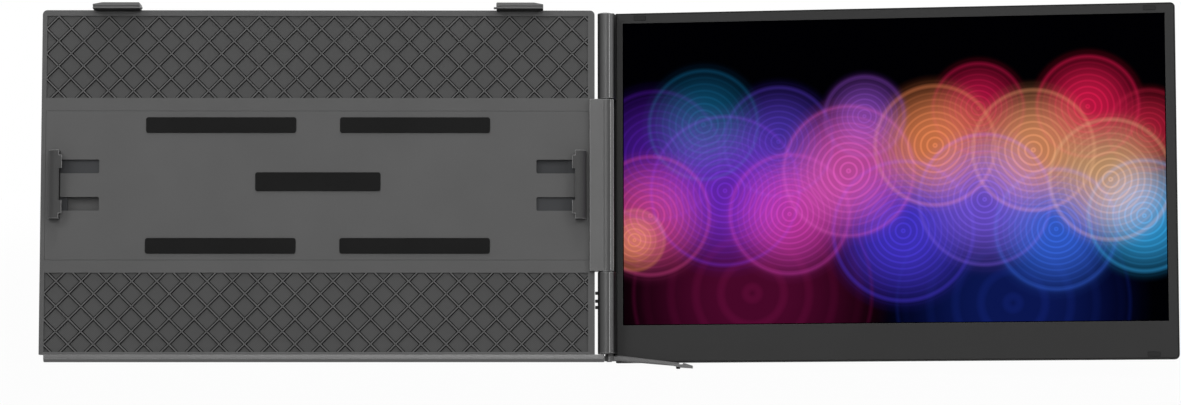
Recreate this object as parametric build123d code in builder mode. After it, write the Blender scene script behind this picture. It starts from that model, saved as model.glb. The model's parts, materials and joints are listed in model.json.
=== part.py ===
"""A monitor that hangs beside a laptop lid on a clamp-on plate.

The plate leans back as the lid does. x runs to the right, v runs up the plate and
w runs out of the plate towards the viewer. Lengths are in millimetres.
"""

from build123d import *
from math import cos, pi, radians, sin, sqrt
import os

os.makedirs("parts", exist_ok=True)

# How the object stands in use, in degrees
LEAN = 11.4             # the plate leans back
SWING = 8.9             # the monitor's far side comes forward of flat

# Plate that hangs behind the lid
PLATE_W = 354.0
PLATE_H = 221.0
PLATE_T = 8.0           # rear cover and front covers together
CORNER_R = 3.0          # upper corners, the lower ones are square
COVER_T = 2.0           # front covers
REAR_WALL = 1.6
SIDE_WALL = 2.0
PAD_T = 0.8             # lid pads stand this proud of the covers
FIT = 0.15              # gap round a part that drops into another
REAR_BEVEL = 0.8
PAD_W = 96.0
PAD_H = 10.0
PAD_X = 62.0            # middle of a pad from the plate's middle
PAD_ROUND = 1.5
MIDDLE_PAD_W = 80.0
MIDDLE_PAD_H = 12.0
COVER_SCREW_SIDE = 12.0 # outer screws from the plate's side edges
COVER_SCREW_END = 8.0   # screws from the plate's top and bottom
COVER_SCREWS = 5        # in a row
SCREW_FIT = 0.05        # gap round a shank

# Crossed ribs of the two sunk panels
LATTICE_PITCH = 16.05
LATTICE_DEPTH = 0.9
RIB = 1.0
LATTICE_LEFT_EDGE = 3.0
LATTICE_RIGHT_EDGE = 4.3
LATTICE_TOP_EDGE = 3.7
LATTICE_LOW_EDGE = 1.6
LATTICE_BAND_GAP = 0.9  # plain strip between a sunk panel and the middle band
CROSSING_INSET = 6.5    # first crossing from the plate's right edge
HIGH_CROSSING = 19.9    # a crossing of the upper panel, below the plate's top
LOW_CROSSING = 30.75    # a crossing of the lower panel, above the plate's bottom

# Hinge between the plate and the monitor
BARREL_R = 5.2
HINGE_GAP = 1.9         # plate edge to barrel
KNUCKLE_L = 110.4
KNUCKLE_MID = -2.2      # middle of the knuckle above the plate's middle
SEAM = 0.5              # between two barrels
BARREL_TOP_DROP = 2.2   # barrel top below the plate's top
BARREL_LOW_RISE = 0.8   # barrel bottom above the plate's bottom
CAP_T = 0.5
DOME_H = 1.0
TAB_DROP = 0.3          # flat tab below the knuckle's crest
TAB_OVER = 3.3          # tab over the plate's right edge
SHOULDER_RISE = 4.3     # flat shoulder right of the crest, in front of the axis
KNUCKLE_SHOULDER = 5.1  # shoulder's width from the axis
BARREL_SHOULDER = 5.9
SHOULDER_ROUND = 1.6
SHAFT_R = 2.0
SHAFT_FIT = 0.03
SLEEVE_R = 3.35
SLEEVE_L = 20.0
SLEEVE_SEAT = 0.05
SHAFT_DROP = 12.0       # upper shaft's end below the barrel's top
SHAFT_OVER = 1.5        # shaft past its sleeve
SLEEVE_IN = 1.0         # sleeve below the knuckle's end
BORE_OVER = 1.0         # sleeve's bore past its inner end
WASHER_T = 0.3
LEAF_T = 1.5
LEAF_IN = 41.0          # leaf inside the plate
LEAF_OUT = 6.1          # leaf outside the plate
RIVET_X = 12.0          # outer rivets from the plate's right edge
RIVET_PITCH = 18.0
RIVET_END = 8.0         # rivets from the leaf's ends
KNUCKLE_SCREW_PITCH = 24.0
KNUCKLE_SCREW_L = 4.2   # screw inside the knuckle

# Side clamps
JAW_EDGE = 5.3          # jaw from the plate's side edge
JAW_W = 7.3
JAW_H = 44.0
JAW_MOUTH = 6.0         # lid thickness that fits under the lips
LIP_T = 1.6
LIP_OVER = 1.9
LIP_H = 8.5
LIP_PITCH = 29.0
LINER_T = 0.8
LINER_END = 2.5         # liner from the jaw's ends
LINER_LOW = 0.6         # liner above the jaw's base
LINER_HIGH = 0.4        # liner below the lips
JAW_ROUND = 5.0         # front outer corner
JAW_FLOAT = 0.3         # jaw above the cover
JAW_SCREW_IN = 3.5      # screw inside the jaw
LIP_ROOT = 1.0          # lip inside the jaw
NECK_W = 5.9
NECK_H = 8.0
NECK_PITCH = 24.0
CLAMP_TRAVEL = 25.0     # each jaw moves in this far
SLIDE = 0.4             # running gap beside a sliding part
ARM_T = 1.8
ARM_H = 10.0
ARM_LIFT = 0.4          # arm above the hinge leaf
FOOT_W = 11.7
FOOT_H = 36.0
FOOT_ROUND = 2.0
NECK_ROUND = 1.0
TOOTH_ROOT = 0.2        # tooth inside the rack's bar
RACK_AHEAD = 3          # teeth pitches past the pinion's middle
RACK_SPARE = 4          # teeth past the travel
GUIDE_T = 3.0
GUIDE_L = 16.0
GUIDE_PITCH = 60.0
GUIDE_CLEAR = 2.0       # arm's foot from the outer guide, at the end of travel
GUIDE_FIT = 0.2

# Pinion that keeps both jaws centred
MODULE = 1.0
TEETH = 12
ADDENDUM = 0.8
DEDENDUM = 1.1
PINION_ROOT = 1.6       # tooth thickness at the root circle
PINION_TIP = 0.56       # tooth thickness at the tip circle
COG_IN = 0.6            # tooth inside the root circle
RACK_PITCH = 1.5        # rack tooth thickness on the pitch line
PRESSURE = 20.0
PIN_R = 1.5
PIN_FIT = 0.06
DRAG_R = 4.2
DRAG_T = 0.5
DRAG_GAP = 0.1

# Cover over the clamp mechanism
BAY_TOP = 45.4
BAY_BOTTOM = -50.1
BAY_LEFT_EDGE = 3.0
BAY_RIGHT_EDGE = 3.6
BAY_RIB = 3.2
BAY_SCREW_IN = 9.0      # screws from the cover's long edges
BAY_SCREW_PITCH = 100.0
SLOT_ROUND = 1.0

# Top hooks
HOOK_EDGE = 48.0        # hook's middle from the plate's side edge
HOOK_W = 30.0
HOOK_H = 4.0            # hook top above the plate's top
HOOK_DROP = 0.9         # pad's underside below the plate's top
HOOK_REACH = 7.6        # shelf in front of the lid's back
HOOK_PAD_T = 1.1
HOOK_PAD_IN = 0.4       # pad's inner end from the hook's
HOOK_PAD_TAPER = 3.4
HOOK_PAD_TAPER_H = 0.7
HOOK_TAPER = 6.0
HOOK_TAPER_H = 1.1
HOOK_BEVEL = 0.5
HOOK_PAD_BACK = 0.4     # pad behind the shelf's front
GROOVE_RISE = 0.8       # groove above the shelf's underside
GROOVE_H = 1.0
GROOVE_IN = 0.8
KNOB_R = 0.7
KNOB_L = 1.6
KNOB_RISE = 0.3         # knob's middle above the shelf's underside
KNOB_IN = 1.5           # knob's middle behind the hook's front
STEM_W = 18.0
STEM_T = 1.6
STEM_L = 40.0
HOOK_RAIL = 2.0

# Bar along the plate's lower edge
BAR_H = 4.8
BAR_T = 4.0
BAR_PROUD = 0.6         # in front of the covers
BAR_LEFT_EDGE = 3.0
BAR_SHORT = 1.1         # ends this far before the hinge axis
BAR_BEVEL = 1.9

# Monitor
SCREEN_SET = 10.0       # bezel face behind the hinge axis, when open flat
CLOSED_GAP = 0.8        # bezel face above the jaws, when folded shut
PANEL_X = 5.0           # monitor's near edge from the hinge axis
PANEL_LOW = 4.9         # monitor's bottom below the plate's bottom
PANEL_T = 9.0
PANEL_R = 3.0           # far corners, the near ones are square
RIM = 0.8
RIM_DROP = 0.1
PANEL_WALL = 2.2
PANEL_FLOOR = 1.2
BEZEL_T = 1.0
BACK_BEVEL = 1.4
ACTIVE_W = 344.2        # lit area, 16:9
ACTIVE_H = 193.6
BORDER_NEAR = 5.1       # beside the hinge
BORDER_FAR = 7.0
BORDER_TOP = 7.1
BORDER_LOW = 24.5
BLACK_EDGE = 0.6
FILM_LAP = 1.5          # film hidden behind the bezel
FILM_T = 0.8
MODULE_T = 3.2
DRIVER_H = 7.0          # driver strip below the film
BACK_PANEL_IN = 22.0    # sunk field on the back
BACK_PANEL_DEPTH = 0.4
SPINE_X = -1.0
SPINE_T = 6.0
SPINE_DROP = 3.2        # spine below the barrels, behind the leg
SPINE_STEP = 1.0        # bevel along the spine
SPINE_SCREW_END = 9.0   # screws from a barrel's ends
SPINE_SCREW_PITCH = 11.0
SPINE_SCREW_L = 5.5     # screw inside the lug
BUMPER_W = 7.8
BUMPER_H = 2.9
BUMPER_SINK = 0.5
BUMPER_PROUD = 0.25
BUMPER_SIDE = 12.0      # bumper from the monitor's side edge
BUMPER_TOP = 1.7        # bumper from the monitor's top or bottom edge
BUMPER_ROUND = 0.8
FOAM_H = 8.0
FOAM_NEAR = 60.0        # foam from the lit area's near edge
FOAM_FAR = 33.0
FOAM_ROW = 16.0         # foam from the lit area's top and bottom
LUG_X = -2.0

# Main board and sockets in the lower part of the monitor
BOARD_W = 72.0
BOARD_H = 16.0
BOARD_T = 0.8
BOARD_FOOT = 0.4
BOARD_RIGHT = 9.0       # board from the monitor's far edge
BOARD_GAP = 0.5         # board above the monitor's lower wall
POST_R = 2.0
POST_IN = 4.0           # posts from the board's ends
POST_ROW = 3.0          # posts from the board's long edges
CHIP_W = 10.0
CHIP_X = 4.0
CHIP_ROW = 3.0
SMALL_CHIP_W = 5.0
SMALL_CHIP_X = 14.8
CHIP_T = 0.9
USB_W = 8.9
USB_H = 3.2
USB_L = 7.4
HDMI_W = 11.2
SOCKET_PITCH = 17.0
SOCKET_WALL = 0.35
SOCKET_ROUND = 0.9
SOCKET_IN = 0.3         # shell behind the monitor's edge
SOCKET_FLOOR = 1.0      # shell's closed end
SOCKET_END = 12.0       # first socket from the board's end
TONGUE_IN = 1.2         # tongue from the shell's sides
TONGUE_T = 0.7
RIBBON_T = 0.3
RIBBON_W = 26.0
RIBBON_X = 24.0         # ribbon from the board's end
RIBBON_LAP = 8.0        # ribbon up the driver strip
RIBBON_FOOT = 3.0       # ribbon on the board
RIBBON_INSET = 2.0
BUTTON_RIBBON_W = 8.0
BUTTON_RIBBON_X = 2.0
BUTTON_RIBBON_L = 53.0
RIBBON_TO_SCREW = 6.0

# Buttons on the lower barrel
BUTTON_R = 1.1
BUTTON_TIP = 6.85       # button end from the hinge axis
BUTTON_V = (39.2, 34.1, 30.1)   # above the plate's bottom
BUTTON_FIT = 0.12
BUTTON_TRAVEL = 0.3
FLANGE_R = 1.5
FLANGE_T = 0.5
BUTTON_BORE = 3.6
BUTTON_BORE_OVER = 2.8  # bore above the top button
BOARD_AT = 1.0          # button board this far before the axis
SWITCH_T = 0.95
SWITCH_SIZE = 2.6
BUTTON_BEVEL = 0.2
BUTTON_BOARD_W = 5.2
BUTTON_BOARD_LOW = 5.0  # board below the lowest button
BUTTON_BOARD_HIGH = 2.4 # board above the highest button
CAP_PLUG = 1.5          # cap inside the barrel

# Support leg
LEG_T = 3.4
LEG_EYE_R = 3.6
LEG_PIN_X = 1.0
LEG_PIN_D = 8.0         # behind the hinge axis
LEG_PIN_R = 1.0
LEG_COLLAR_R = 2.7      # collar of the pin, over the eye
LEG_H = 3.5
LEG_DROP = 0.5          # leg below the plate's bottom
LEG_LEVEL = 8.0         # level part from the hinge axis
LEG_FALL = 4.7
LEG_REACH = 54.7
LEG_NOTCH_X = 8.7       # notch before the finger tab, from the tip
LEG_NOTCH_W = 2.2
LEG_NOTCH_H = 1.0
LEG_TAB_RUN = 0.8       # rise of the finger tab
LEG_TAB_L = 1.0
LEG_TAB_FALL = 0.2      # tab's crest below the arm's end
LEG_TIP_H = 1.9         # tip below the arm's end
LEG_TIP_T = 1.8
LEG_SOLE_L = 7.3
LEG_SOLE_RISE = 0.5
LEG_HEEL_X = 42.0
LEG_HEEL_T = 1.95       # heel's underside below the arm's end
LEG_PIN_UP = 5.5        # pin inside the lug
LEG_PIN_BORE = 6.0
LEG_FOOT_BEVEL = 0.4
LEG_FOOT_X = 45.4
LEG_FOOT_R = 1.4
LEG_FOOT_H = 2.1
LEG_FOOT_LOW = 3.9      # foot's end below the arm's end
LEG_BEVEL = 0.8
LEG_HEAD_R = 1.7
LEG_HEAD_T = 0.3
LEG_HEAD_GAP = 0.1

# Fasteners
REAR_SCREW_R = 1.25
REAR_HEAD_R = 2.4
REAR_HEAD_T = 1.0
REAR_SCREW_IN = 0.8
BOSS_R = 3.2
RIVET_R = 1.2
SMALL_SCREW_R = 1.0
SMALL_HEAD_R = 1.9
SMALL_HEAD_T = 0.8

# Places that follow from the sizes above
RIGHT = PLATE_W / 2
TOP = PLATE_H / 2
FACE = -PAD_T
COVER_BACK = FACE - COVER_T
REAR = FACE - PLATE_T
FLOOR = REAR + REAR_WALL
AXIS_X = RIGHT + HINGE_GAP + BARREL_R
JAW_TOP = JAW_MOUTH + LIP_T
AXIS_W = JAW_TOP + CLOSED_GAP - SCREEN_SET
KNUCKLE_TOP = KNUCKLE_MID + KNUCKLE_L / 2
KNUCKLE_LOW = KNUCKLE_MID - KNUCKLE_L / 2
BARREL_TOP = TOP - BARREL_TOP_DROP
BARREL_LOW = -TOP + BARREL_LOW_RISE
LEAF_FRONT = FLOOR + LEAF_T
ARM_BACK = LEAF_FRONT + ARM_LIFT
ARM_FRONT = ARM_BACK + ARM_T
JAW_OUT = RIGHT - JAW_EDGE
JAW_IN = JAW_OUT - JAW_W
HOOK_X = RIGHT - HOOK_EDGE
PITCH_R = MODULE * TEETH / 2
STEM_BACK = ARM_BACK
ACTIVE_X = PANEL_X + BORDER_NEAR
PANEL_RIGHT = ACTIVE_X + ACTIVE_W + BORDER_FAR
PANEL_BOTTOM = -TOP - PANEL_LOW
ACTIVE_LOW = PANEL_BOTTOM + BORDER_LOW
ACTIVE_HIGH = ACTIVE_LOW + ACTIVE_H
PANEL_TOP = ACTIVE_HIGH + BORDER_TOP
BEZEL_FACE = -SCREEN_SET
BEZEL_BACK = BEZEL_FACE - BEZEL_T
PANEL_BACK = BEZEL_FACE - PANEL_T
PANEL_INNER = PANEL_BACK + PANEL_FLOOR
FILM_BACK = BEZEL_BACK - FILM_T
MODULE_BACK = FILM_BACK - MODULE_T
SPINE_FRONT = PANEL_BACK + SPINE_T
LEG_TOP = -TOP - LEG_DROP
LEG_LOW = LEG_TOP - LEG_H
BOARD_FRONT = PANEL_INNER + BOARD_FOOT + BOARD_T
FOOT_IN = JAW_OUT - FOOT_W

# Directions and planes
NORMAL = Vector(0, -cos(radians(LEAN)), sin(radians(LEAN)))
UP = Vector(0, sin(radians(LEAN)), cos(radians(LEAN)))
ACROSS = Vector(1, 0, 0)
front = Plane(origin=(0, 0, 0), x_dir=ACROSS, z_dir=NORMAL)
axis_point = ACROSS * AXIS_X + NORMAL * AXIS_W
SWUNG_X = ACROSS * cos(radians(SWING)) + NORMAL * sin(radians(SWING))
SWUNG_N = NORMAL * cos(radians(SWING)) - ACROSS * sin(radians(SWING))
panel = Plane(origin=axis_point, x_dir=SWUNG_X, z_dir=SWUNG_N)


def knuckle_level(v):
    """Plane across the hinge at one height. Its y runs to the back of the plate."""
    return Plane(origin=axis_point + UP * v, x_dir=ACROSS, z_dir=UP)


def panel_level(v):
    """Plane across the monitor at one height. Its y runs to the monitor's back."""
    return Plane(origin=axis_point + UP * v, x_dir=SWUNG_X, z_dir=UP)


def panel_side(x):
    """Plane across the monitor's width. Its x runs to the monitor's back, its y runs up."""
    return Plane(origin=axis_point + SWUNG_X * x, x_dir=SWUNG_N * -1, z_dir=SWUNG_X)


def plate_side(x):
    """Plane across the plate's width. Its x runs to the back, its y runs up."""
    return Plane(origin=ACROSS * x, x_dir=NORMAL * -1, z_dir=ACROSS)


def block(plane, x0, x1, y0, y1, depth, mode=Mode.ADD, radius=0.0):
    """Extrude a rectangle, given by its edges on the plane, along the plane's normal."""
    with BuildSketch(plane) as outline:
        with Locations(((x0 + x1) / 2, (y0 + y1) / 2)):
            if radius:
                RectangleRounded(x1 - x0, y1 - y0, radius)
            else:
                Rectangle(x1 - x0, y1 - y0)
    extrude(outline.sketch, amount=depth, mode=mode)


def rods(plane, places, radius, depth, mode=Mode.ADD):
    """Extrude circles, centred on the places, along the plane's normal."""
    with BuildSketch(plane) as outline:
        with Locations(*places):
            Circle(radius)
    extrude(outline.sketch, amount=depth, mode=mode)


def prism(plane, points, depth, mode=Mode.ADD):
    """Extrude a closed outline along the plane's normal."""
    with BuildSketch(plane) as outline:
        with BuildLine():
            Polyline(*points, close=True)
        make_face()
    extrude(outline.sketch, amount=depth, mode=mode)


def plate_blank(plane, depth):
    """Extrude the plate's outline, with its upper corners rounded."""
    block(plane, -RIGHT, RIGHT, -TOP, TOP, depth, radius=CORNER_R)
    block(plane, -RIGHT, RIGHT, -TOP, -TOP + 2 * CORNER_R, depth)


def panel_blank(plane, inset, depth, mode=Mode.ADD):
    """Extrude the monitor's outline, smaller by the inset, with its far corners rounded."""
    left = PANEL_X + inset
    low = PANEL_BOTTOM + inset
    high = PANEL_TOP - inset
    block(plane, left, PANEL_RIGHT - inset, low, high, depth, mode, PANEL_R - inset)
    block(plane, left, left + 2 * PANEL_R, low, high, depth, mode)


def lattice(low, high, crossing):
    """Sink one panel of the front cover and leave its crossed ribs standing."""
    left = -RIGHT + LATTICE_LEFT_EDGE
    right = RIGHT - LATTICE_RIGHT_EDGE
    height = high - low
    spare = int(height / LATTICE_PITCH) + 2
    count = int((right - left) / LATTICE_PITCH) + spare
    first = RIGHT - CROSSING_INSET
    crossings = [(first - i * LATTICE_PITCH, crossing) for i in range(-spare, count)]
    with BuildSketch(front.offset(FACE)) as pockets:
        with Locations(((left + right) / 2, (low + high) / 2)):
            Rectangle(right - left, height)
        for slope in (45, -45):
            with Locations(*crossings):
                Rectangle(2 * height * sqrt(2), RIB, rotation=slope, mode=Mode.SUBTRACT)
    extrude(pockets.sketch, amount=-LATTICE_DEPTH, mode=Mode.SUBTRACT)


def save(name, builder):
    """Label a finished piece and write its file."""
    builder.part.label = name
    export_step(builder.part, f"parts/{name}.step")


# Where the screws of the plate stand
screw_span = RIGHT - COVER_SCREW_SIDE
cover_screw_x = [screw_span * (2 * i / (COVER_SCREWS - 1) - 1) for i in range(COVER_SCREWS)]
cover_screws = [(x, v) for x in cover_screw_x for v in (-TOP + COVER_SCREW_END, TOP - COVER_SCREW_END)]
bay_rows = (BAY_BOTTOM + BAY_SCREW_IN, BAY_TOP - BAY_SCREW_IN)
bay_screws = [(i * BAY_SCREW_PITCH, v) for i in (-1, 0, 1) for v in bay_rows]
rear_screws_at = cover_screws + bay_screws
leaf_rivets_at = [(RIGHT - RIVET_X - i * RIVET_PITCH, v) for i in (0, 1)
                  for v in (KNUCKLE_LOW + RIVET_END, KNUCKLE_TOP - RIVET_END)]
knuckle_screw_x = -(BARREL_R + HINGE_GAP) / 2
knuckle_screws_at = [KNUCKLE_MID + i * KNUCKLE_SCREW_PITCH for i in (-1, 0, 1)]
stem_edges = [(side * HOOK_X - STEM_W / 2, side * HOOK_X + STEM_W / 2) for side in (-1, 1)]

# Rear cover of the plate, a tray with bosses, ribs and hook guides
with BuildPart() as rear_cover:
    plate_blank(front.offset(REAR), PLATE_T - COVER_T)
    back_face = rear_cover.faces().sort_by(Axis((0, 0, 0), NORMAL))[0]
    chamfer(back_face.edges(), length=REAR_BEVEL)
    block(front.offset(FLOOR), -RIGHT + SIDE_WALL, RIGHT - SIDE_WALL,
          -TOP + SIDE_WALL, TOP - SIDE_WALL, COVER_BACK - FLOOR, Mode.SUBTRACT, CORNER_R / 2)
    for bay_edge in (BAY_TOP, BAY_BOTTOM):
        block(front.offset(FLOOR), -RIGHT + SIDE_WALL, RIGHT - LEAF_IN - SLIDE,
              bay_edge - BAY_RIB / 2, bay_edge + BAY_RIB / 2, COVER_BACK - FLOOR)
    rods(front.offset(FLOOR), rear_screws_at, BOSS_R, COVER_BACK - FLOOR)
    rods(front.offset(REAR), rear_screws_at, REAR_SCREW_R + SCREW_FIT, PLATE_T, Mode.SUBTRACT)
    rods(front.offset(REAR), rear_screws_at, REAR_HEAD_R + SCREW_FIT, REAR_HEAD_T, Mode.SUBTRACT)
    rods(front.offset(REAR), leaf_rivets_at, RIVET_R + SCREW_FIT, REAR_WALL, Mode.SUBTRACT)
    rods(front.offset(FLOOR), [(0, KNUCKLE_MID)], DRAG_R, ARM_BACK - DRAG_GAP - FLOOR)
    rods(front.offset(REAR), [(0, KNUCKLE_MID)], PIN_R + SCREW_FIT, PLATE_T, Mode.SUBTRACT)
    block(front.offset(FLOOR), RIGHT - SIDE_WALL, RIGHT, KNUCKLE_LOW - FIT, KNUCKLE_TOP + FIT,
          LEAF_T + FIT, Mode.SUBTRACT)
    for left_edge, right_edge in stem_edges:
        block(front.offset(STEM_BACK - SLIDE), left_edge - SLIDE, right_edge + SLIDE,
              TOP - SIDE_WALL, TOP, STEM_T + 2 * SLIDE, Mode.SUBTRACT)
save("rear_cover", rear_cover)

# Front cover with its sunk lattice panels and the window for the clamp cover
bay_left = -RIGHT + BAY_LEFT_EDGE
bay_right = RIGHT - BAY_RIGHT_EDGE
with BuildPart() as front_cover:
    plate_blank(front.offset(COVER_BACK), COVER_T)
    block(front.offset(COVER_BACK), bay_left - FIT, bay_right + FIT,
          BAY_BOTTOM - FIT, BAY_TOP + FIT, COVER_T, Mode.SUBTRACT)
    lattice(KNUCKLE_TOP + LATTICE_BAND_GAP, TOP - LATTICE_TOP_EDGE, TOP - HIGH_CROSSING)
    lattice(-TOP + LATTICE_LOW_EDGE, KNUCKLE_LOW - LATTICE_BAND_GAP, -TOP + LOW_CROSSING)
    rods(front.offset(COVER_BACK), cover_screws, REAR_SCREW_R + SCREW_FIT, REAR_SCREW_IN,
         Mode.SUBTRACT)
save("front_cover", front_cover)

# Cover over the clamp mechanism, with two slots for the necks of each jaw
neck_centre = JAW_IN + JAW_W / 2
slot_out = neck_centre + NECK_W / 2 + SLIDE
slot_in = neck_centre - NECK_W / 2 - CLAMP_TRAVEL - SLIDE
with BuildPart() as clamp_cover:
    block(front.offset(COVER_BACK), bay_left, bay_right, BAY_BOTTOM, BAY_TOP, COVER_T)
    for near, far in ((-slot_out, -slot_in), (slot_in, slot_out)):
        for step in (-NECK_PITCH / 2, NECK_PITCH / 2):
            middle = KNUCKLE_MID + step
            block(front.offset(COVER_BACK), near, far, middle - NECK_H / 2 - SLIDE,
                  middle + NECK_H / 2 + SLIDE, COVER_T, Mode.SUBTRACT, radius=SLOT_ROUND)
    rods(front.offset(COVER_BACK), bay_screws, REAR_SCREW_R + SCREW_FIT, REAR_SCREW_IN,
         Mode.SUBTRACT)
save("clamp_cover", clamp_cover)

# Rubber pads that the lid rests on
with BuildPart() as lid_pads:
    for row in bay_rows:
        for middle in (-PAD_X, PAD_X):
            block(front.offset(FACE), middle - PAD_W / 2, middle + PAD_W / 2, row - PAD_H / 2,
                  row + PAD_H / 2, PAD_T, radius=PAD_ROUND)
    block(front.offset(FACE), -MIDDLE_PAD_W / 2, MIDDLE_PAD_W / 2, -MIDDLE_PAD_H / 2,
          MIDDLE_PAD_H / 2, PAD_T, radius=PAD_ROUND)
save("lid_pads", lid_pads)

# Screws that hold the covers, put in from the back
with BuildPart() as rear_screws:
    rods(front.offset(REAR), rear_screws_at, REAR_HEAD_R, REAR_HEAD_T)
    rods(front.offset(REAR + REAR_HEAD_T), rear_screws_at, REAR_SCREW_R,
         COVER_BACK + REAR_SCREW_IN - REAR - REAR_HEAD_T)
    with BuildSketch(front.offset(REAR)) as drive:
        with Locations(*rear_screws_at):
            RegularPolygon(REAR_HEAD_R / 2, 6)
    extrude(drive.sketch, amount=REAR_HEAD_T / 2, mode=Mode.SUBTRACT)
save("rear_screws", rear_screws)

# Bar along the plate's lower edge, bevelled underneath
bar_front = -(FACE + BAR_PROUD)
bar_points = [
    (bar_front, -TOP),
    (bar_front + BAR_T, -TOP),
    (bar_front + BAR_T, -TOP - BAR_H),
    (bar_front + BAR_BEVEL, -TOP - BAR_H),
    (bar_front, -TOP - BAR_H + BAR_BEVEL),
]
with BuildPart() as bottom_bar:
    prism(plate_side(-RIGHT + BAR_LEFT_EDGE), bar_points,
          AXIS_X - BAR_SHORT + RIGHT - BAR_LEFT_EDGE)
save("bottom_bar", bottom_bar)

# Knuckle in the middle of the hinge, with the flat tab that lies on the plate
tab_crest = BARREL_R - TAB_DROP
tab_left = -(HINGE_GAP + BARREL_R + TAB_OVER)
plate_edge = -(HINGE_GAP + BARREL_R)
leaf_seat = AXIS_W - LEAF_FRONT
bore_l = SLEEVE_IN + SLEEVE_L + BORE_OVER
with BuildPart() as hinge_knuckle:
    rods(knuckle_level(KNUCKLE_LOW), [(0, 0)], BARREL_R, KNUCKLE_L)
    block(knuckle_level(KNUCKLE_LOW), 0, KNUCKLE_SHOULDER, -SHOULDER_RISE, 0, KNUCKLE_L)
    block(knuckle_level(KNUCKLE_LOW), plate_edge + FIT, 0, -tab_crest, leaf_seat, KNUCKLE_L)
    block(knuckle_level(KNUCKLE_LOW), tab_left, plate_edge + FIT, -tab_crest, AXIS_W - FACE,
          KNUCKLE_L)
    block(knuckle_level(KNUCKLE_LOW), plate_edge - TAB_OVER, 0, leaf_seat, BARREL_R + LEAF_T,
          KNUCKLE_L, Mode.SUBTRACT)
    rods(knuckle_level(KNUCKLE_LOW), [(0, 0)], SHAFT_R + PIN_FIT, KNUCKLE_L, Mode.SUBTRACT)
    rods(knuckle_level(KNUCKLE_LOW), [(0, 0)], SLEEVE_R + SLEEVE_SEAT, bore_l, Mode.SUBTRACT)
    rods(knuckle_level(KNUCKLE_TOP), [(0, 0)], SLEEVE_R + SLEEVE_SEAT, -bore_l, Mode.SUBTRACT)
    for v in knuckle_screws_at:
        rods(front.offset(LEAF_FRONT), [(AXIS_X + knuckle_screw_x, v)],
             SMALL_SCREW_R + SCREW_FIT, BARREL_R, Mode.SUBTRACT)
save("hinge_knuckle", hinge_knuckle)

# Steel leaf that carries the knuckle, flat on the rear cover's floor
with BuildPart() as hinge_leaf:
    block(front.offset(FLOOR), RIGHT - LEAF_IN, RIGHT + LEAF_OUT, KNUCKLE_LOW, KNUCKLE_TOP, LEAF_T)
    rods(front.offset(FLOOR), leaf_rivets_at, RIVET_R + SCREW_FIT, LEAF_T, Mode.SUBTRACT)
    rods(front.offset(FLOOR), [(AXIS_X + knuckle_screw_x, v) for v in knuckle_screws_at],
         SMALL_SCREW_R + SCREW_FIT, LEAF_T, Mode.SUBTRACT)
save("hinge_leaf", hinge_leaf)

with BuildPart() as leaf_rivets:
    rods(front.offset(REAR), leaf_rivets_at, RIVET_R, REAR_WALL + LEAF_T)
save("leaf_rivets", leaf_rivets)

with BuildPart() as knuckle_screws:
    for v in knuckle_screws_at:
        place = [(AXIS_X + knuckle_screw_x, v)]
        rods(front.offset(FLOOR), place, SMALL_SCREW_R, LEAF_T + KNUCKLE_SCREW_L)
        rods(front.offset(FLOOR), place, SMALL_HEAD_R, -SMALL_HEAD_T)
save("knuckle_screws", knuckle_screws)

# Friction sleeves pressed into the knuckle's ends
with BuildPart() as friction_sleeves:
    for start in (KNUCKLE_LOW + SLEEVE_IN, KNUCKLE_TOP - SLEEVE_IN - SLEEVE_L):
        rods(knuckle_level(start), [(0, 0)], SLEEVE_R, SLEEVE_L)
        rods(knuckle_level(start), [(0, 0)], SHAFT_R + SHAFT_FIT, SLEEVE_L, Mode.SUBTRACT)
save("friction_sleeves", friction_sleeves)

# Washers in the two seams of the hinge
with BuildPart() as hinge_washers:
    for start in (KNUCKLE_LOW - SEAM, KNUCKLE_TOP + SEAM - WASHER_T):
        rods(panel_level(start), [(0, 0)], BARREL_R - TAB_DROP, WASHER_T)
        rods(panel_level(start), [(0, 0)], SHAFT_R + SHAFT_FIT, WASHER_T, Mode.SUBTRACT)
save("hinge_washers", hinge_washers)

# Shafts that turn in the sleeves and stand in the barrels
button_bore_end = -TOP + BUTTON_V[0] + BUTTON_BORE_OVER
shaft_spans = {
    "upper_shaft": (KNUCKLE_TOP - SLEEVE_L - SHAFT_OVER, BARREL_TOP - SHAFT_DROP),
    "lower_shaft": (button_bore_end, KNUCKLE_LOW + SLEEVE_L + SHAFT_OVER),
}
for shaft_name, (start, end) in shaft_spans.items():
    with BuildPart() as shaft:
        rods(panel_level(start), [(0, 0)], SHAFT_R, end - start)
    save(shaft_name, shaft)

# Barrels of the monitor, each with the lug that joins it to the monitor's spine
barrel_spans = {
    "upper_barrel": (KNUCKLE_TOP + SEAM, BARREL_TOP),
    "lower_barrel": (BARREL_LOW, KNUCKLE_LOW - SEAM),
}
ribbon_v = -TOP + BUTTON_V[1]
ribbon_half = BUTTON_RIBBON_W / 2
barrel_screws_at = {
    "upper_barrel": [KNUCKLE_TOP + SPINE_SCREW_END,
                     BARREL_TOP - SPINE_SCREW_END - SPINE_SCREW_PITCH,
                     BARREL_TOP - SPINE_SCREW_END],
    "lower_barrel": [BARREL_LOW + SPINE_SCREW_END,
                     BARREL_LOW + SPINE_SCREW_END + SPINE_SCREW_PITCH,
                     ribbon_v + ribbon_half + RIBBON_TO_SCREW],
}
screw_lug_x = (LUG_X + PANEL_X) / 2
ribbon_x = BUTTON_RIBBON_X
round_at = (BARREL_SHOULDER - SHOULDER_ROUND, SHOULDER_ROUND - SHOULDER_RISE)
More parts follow.
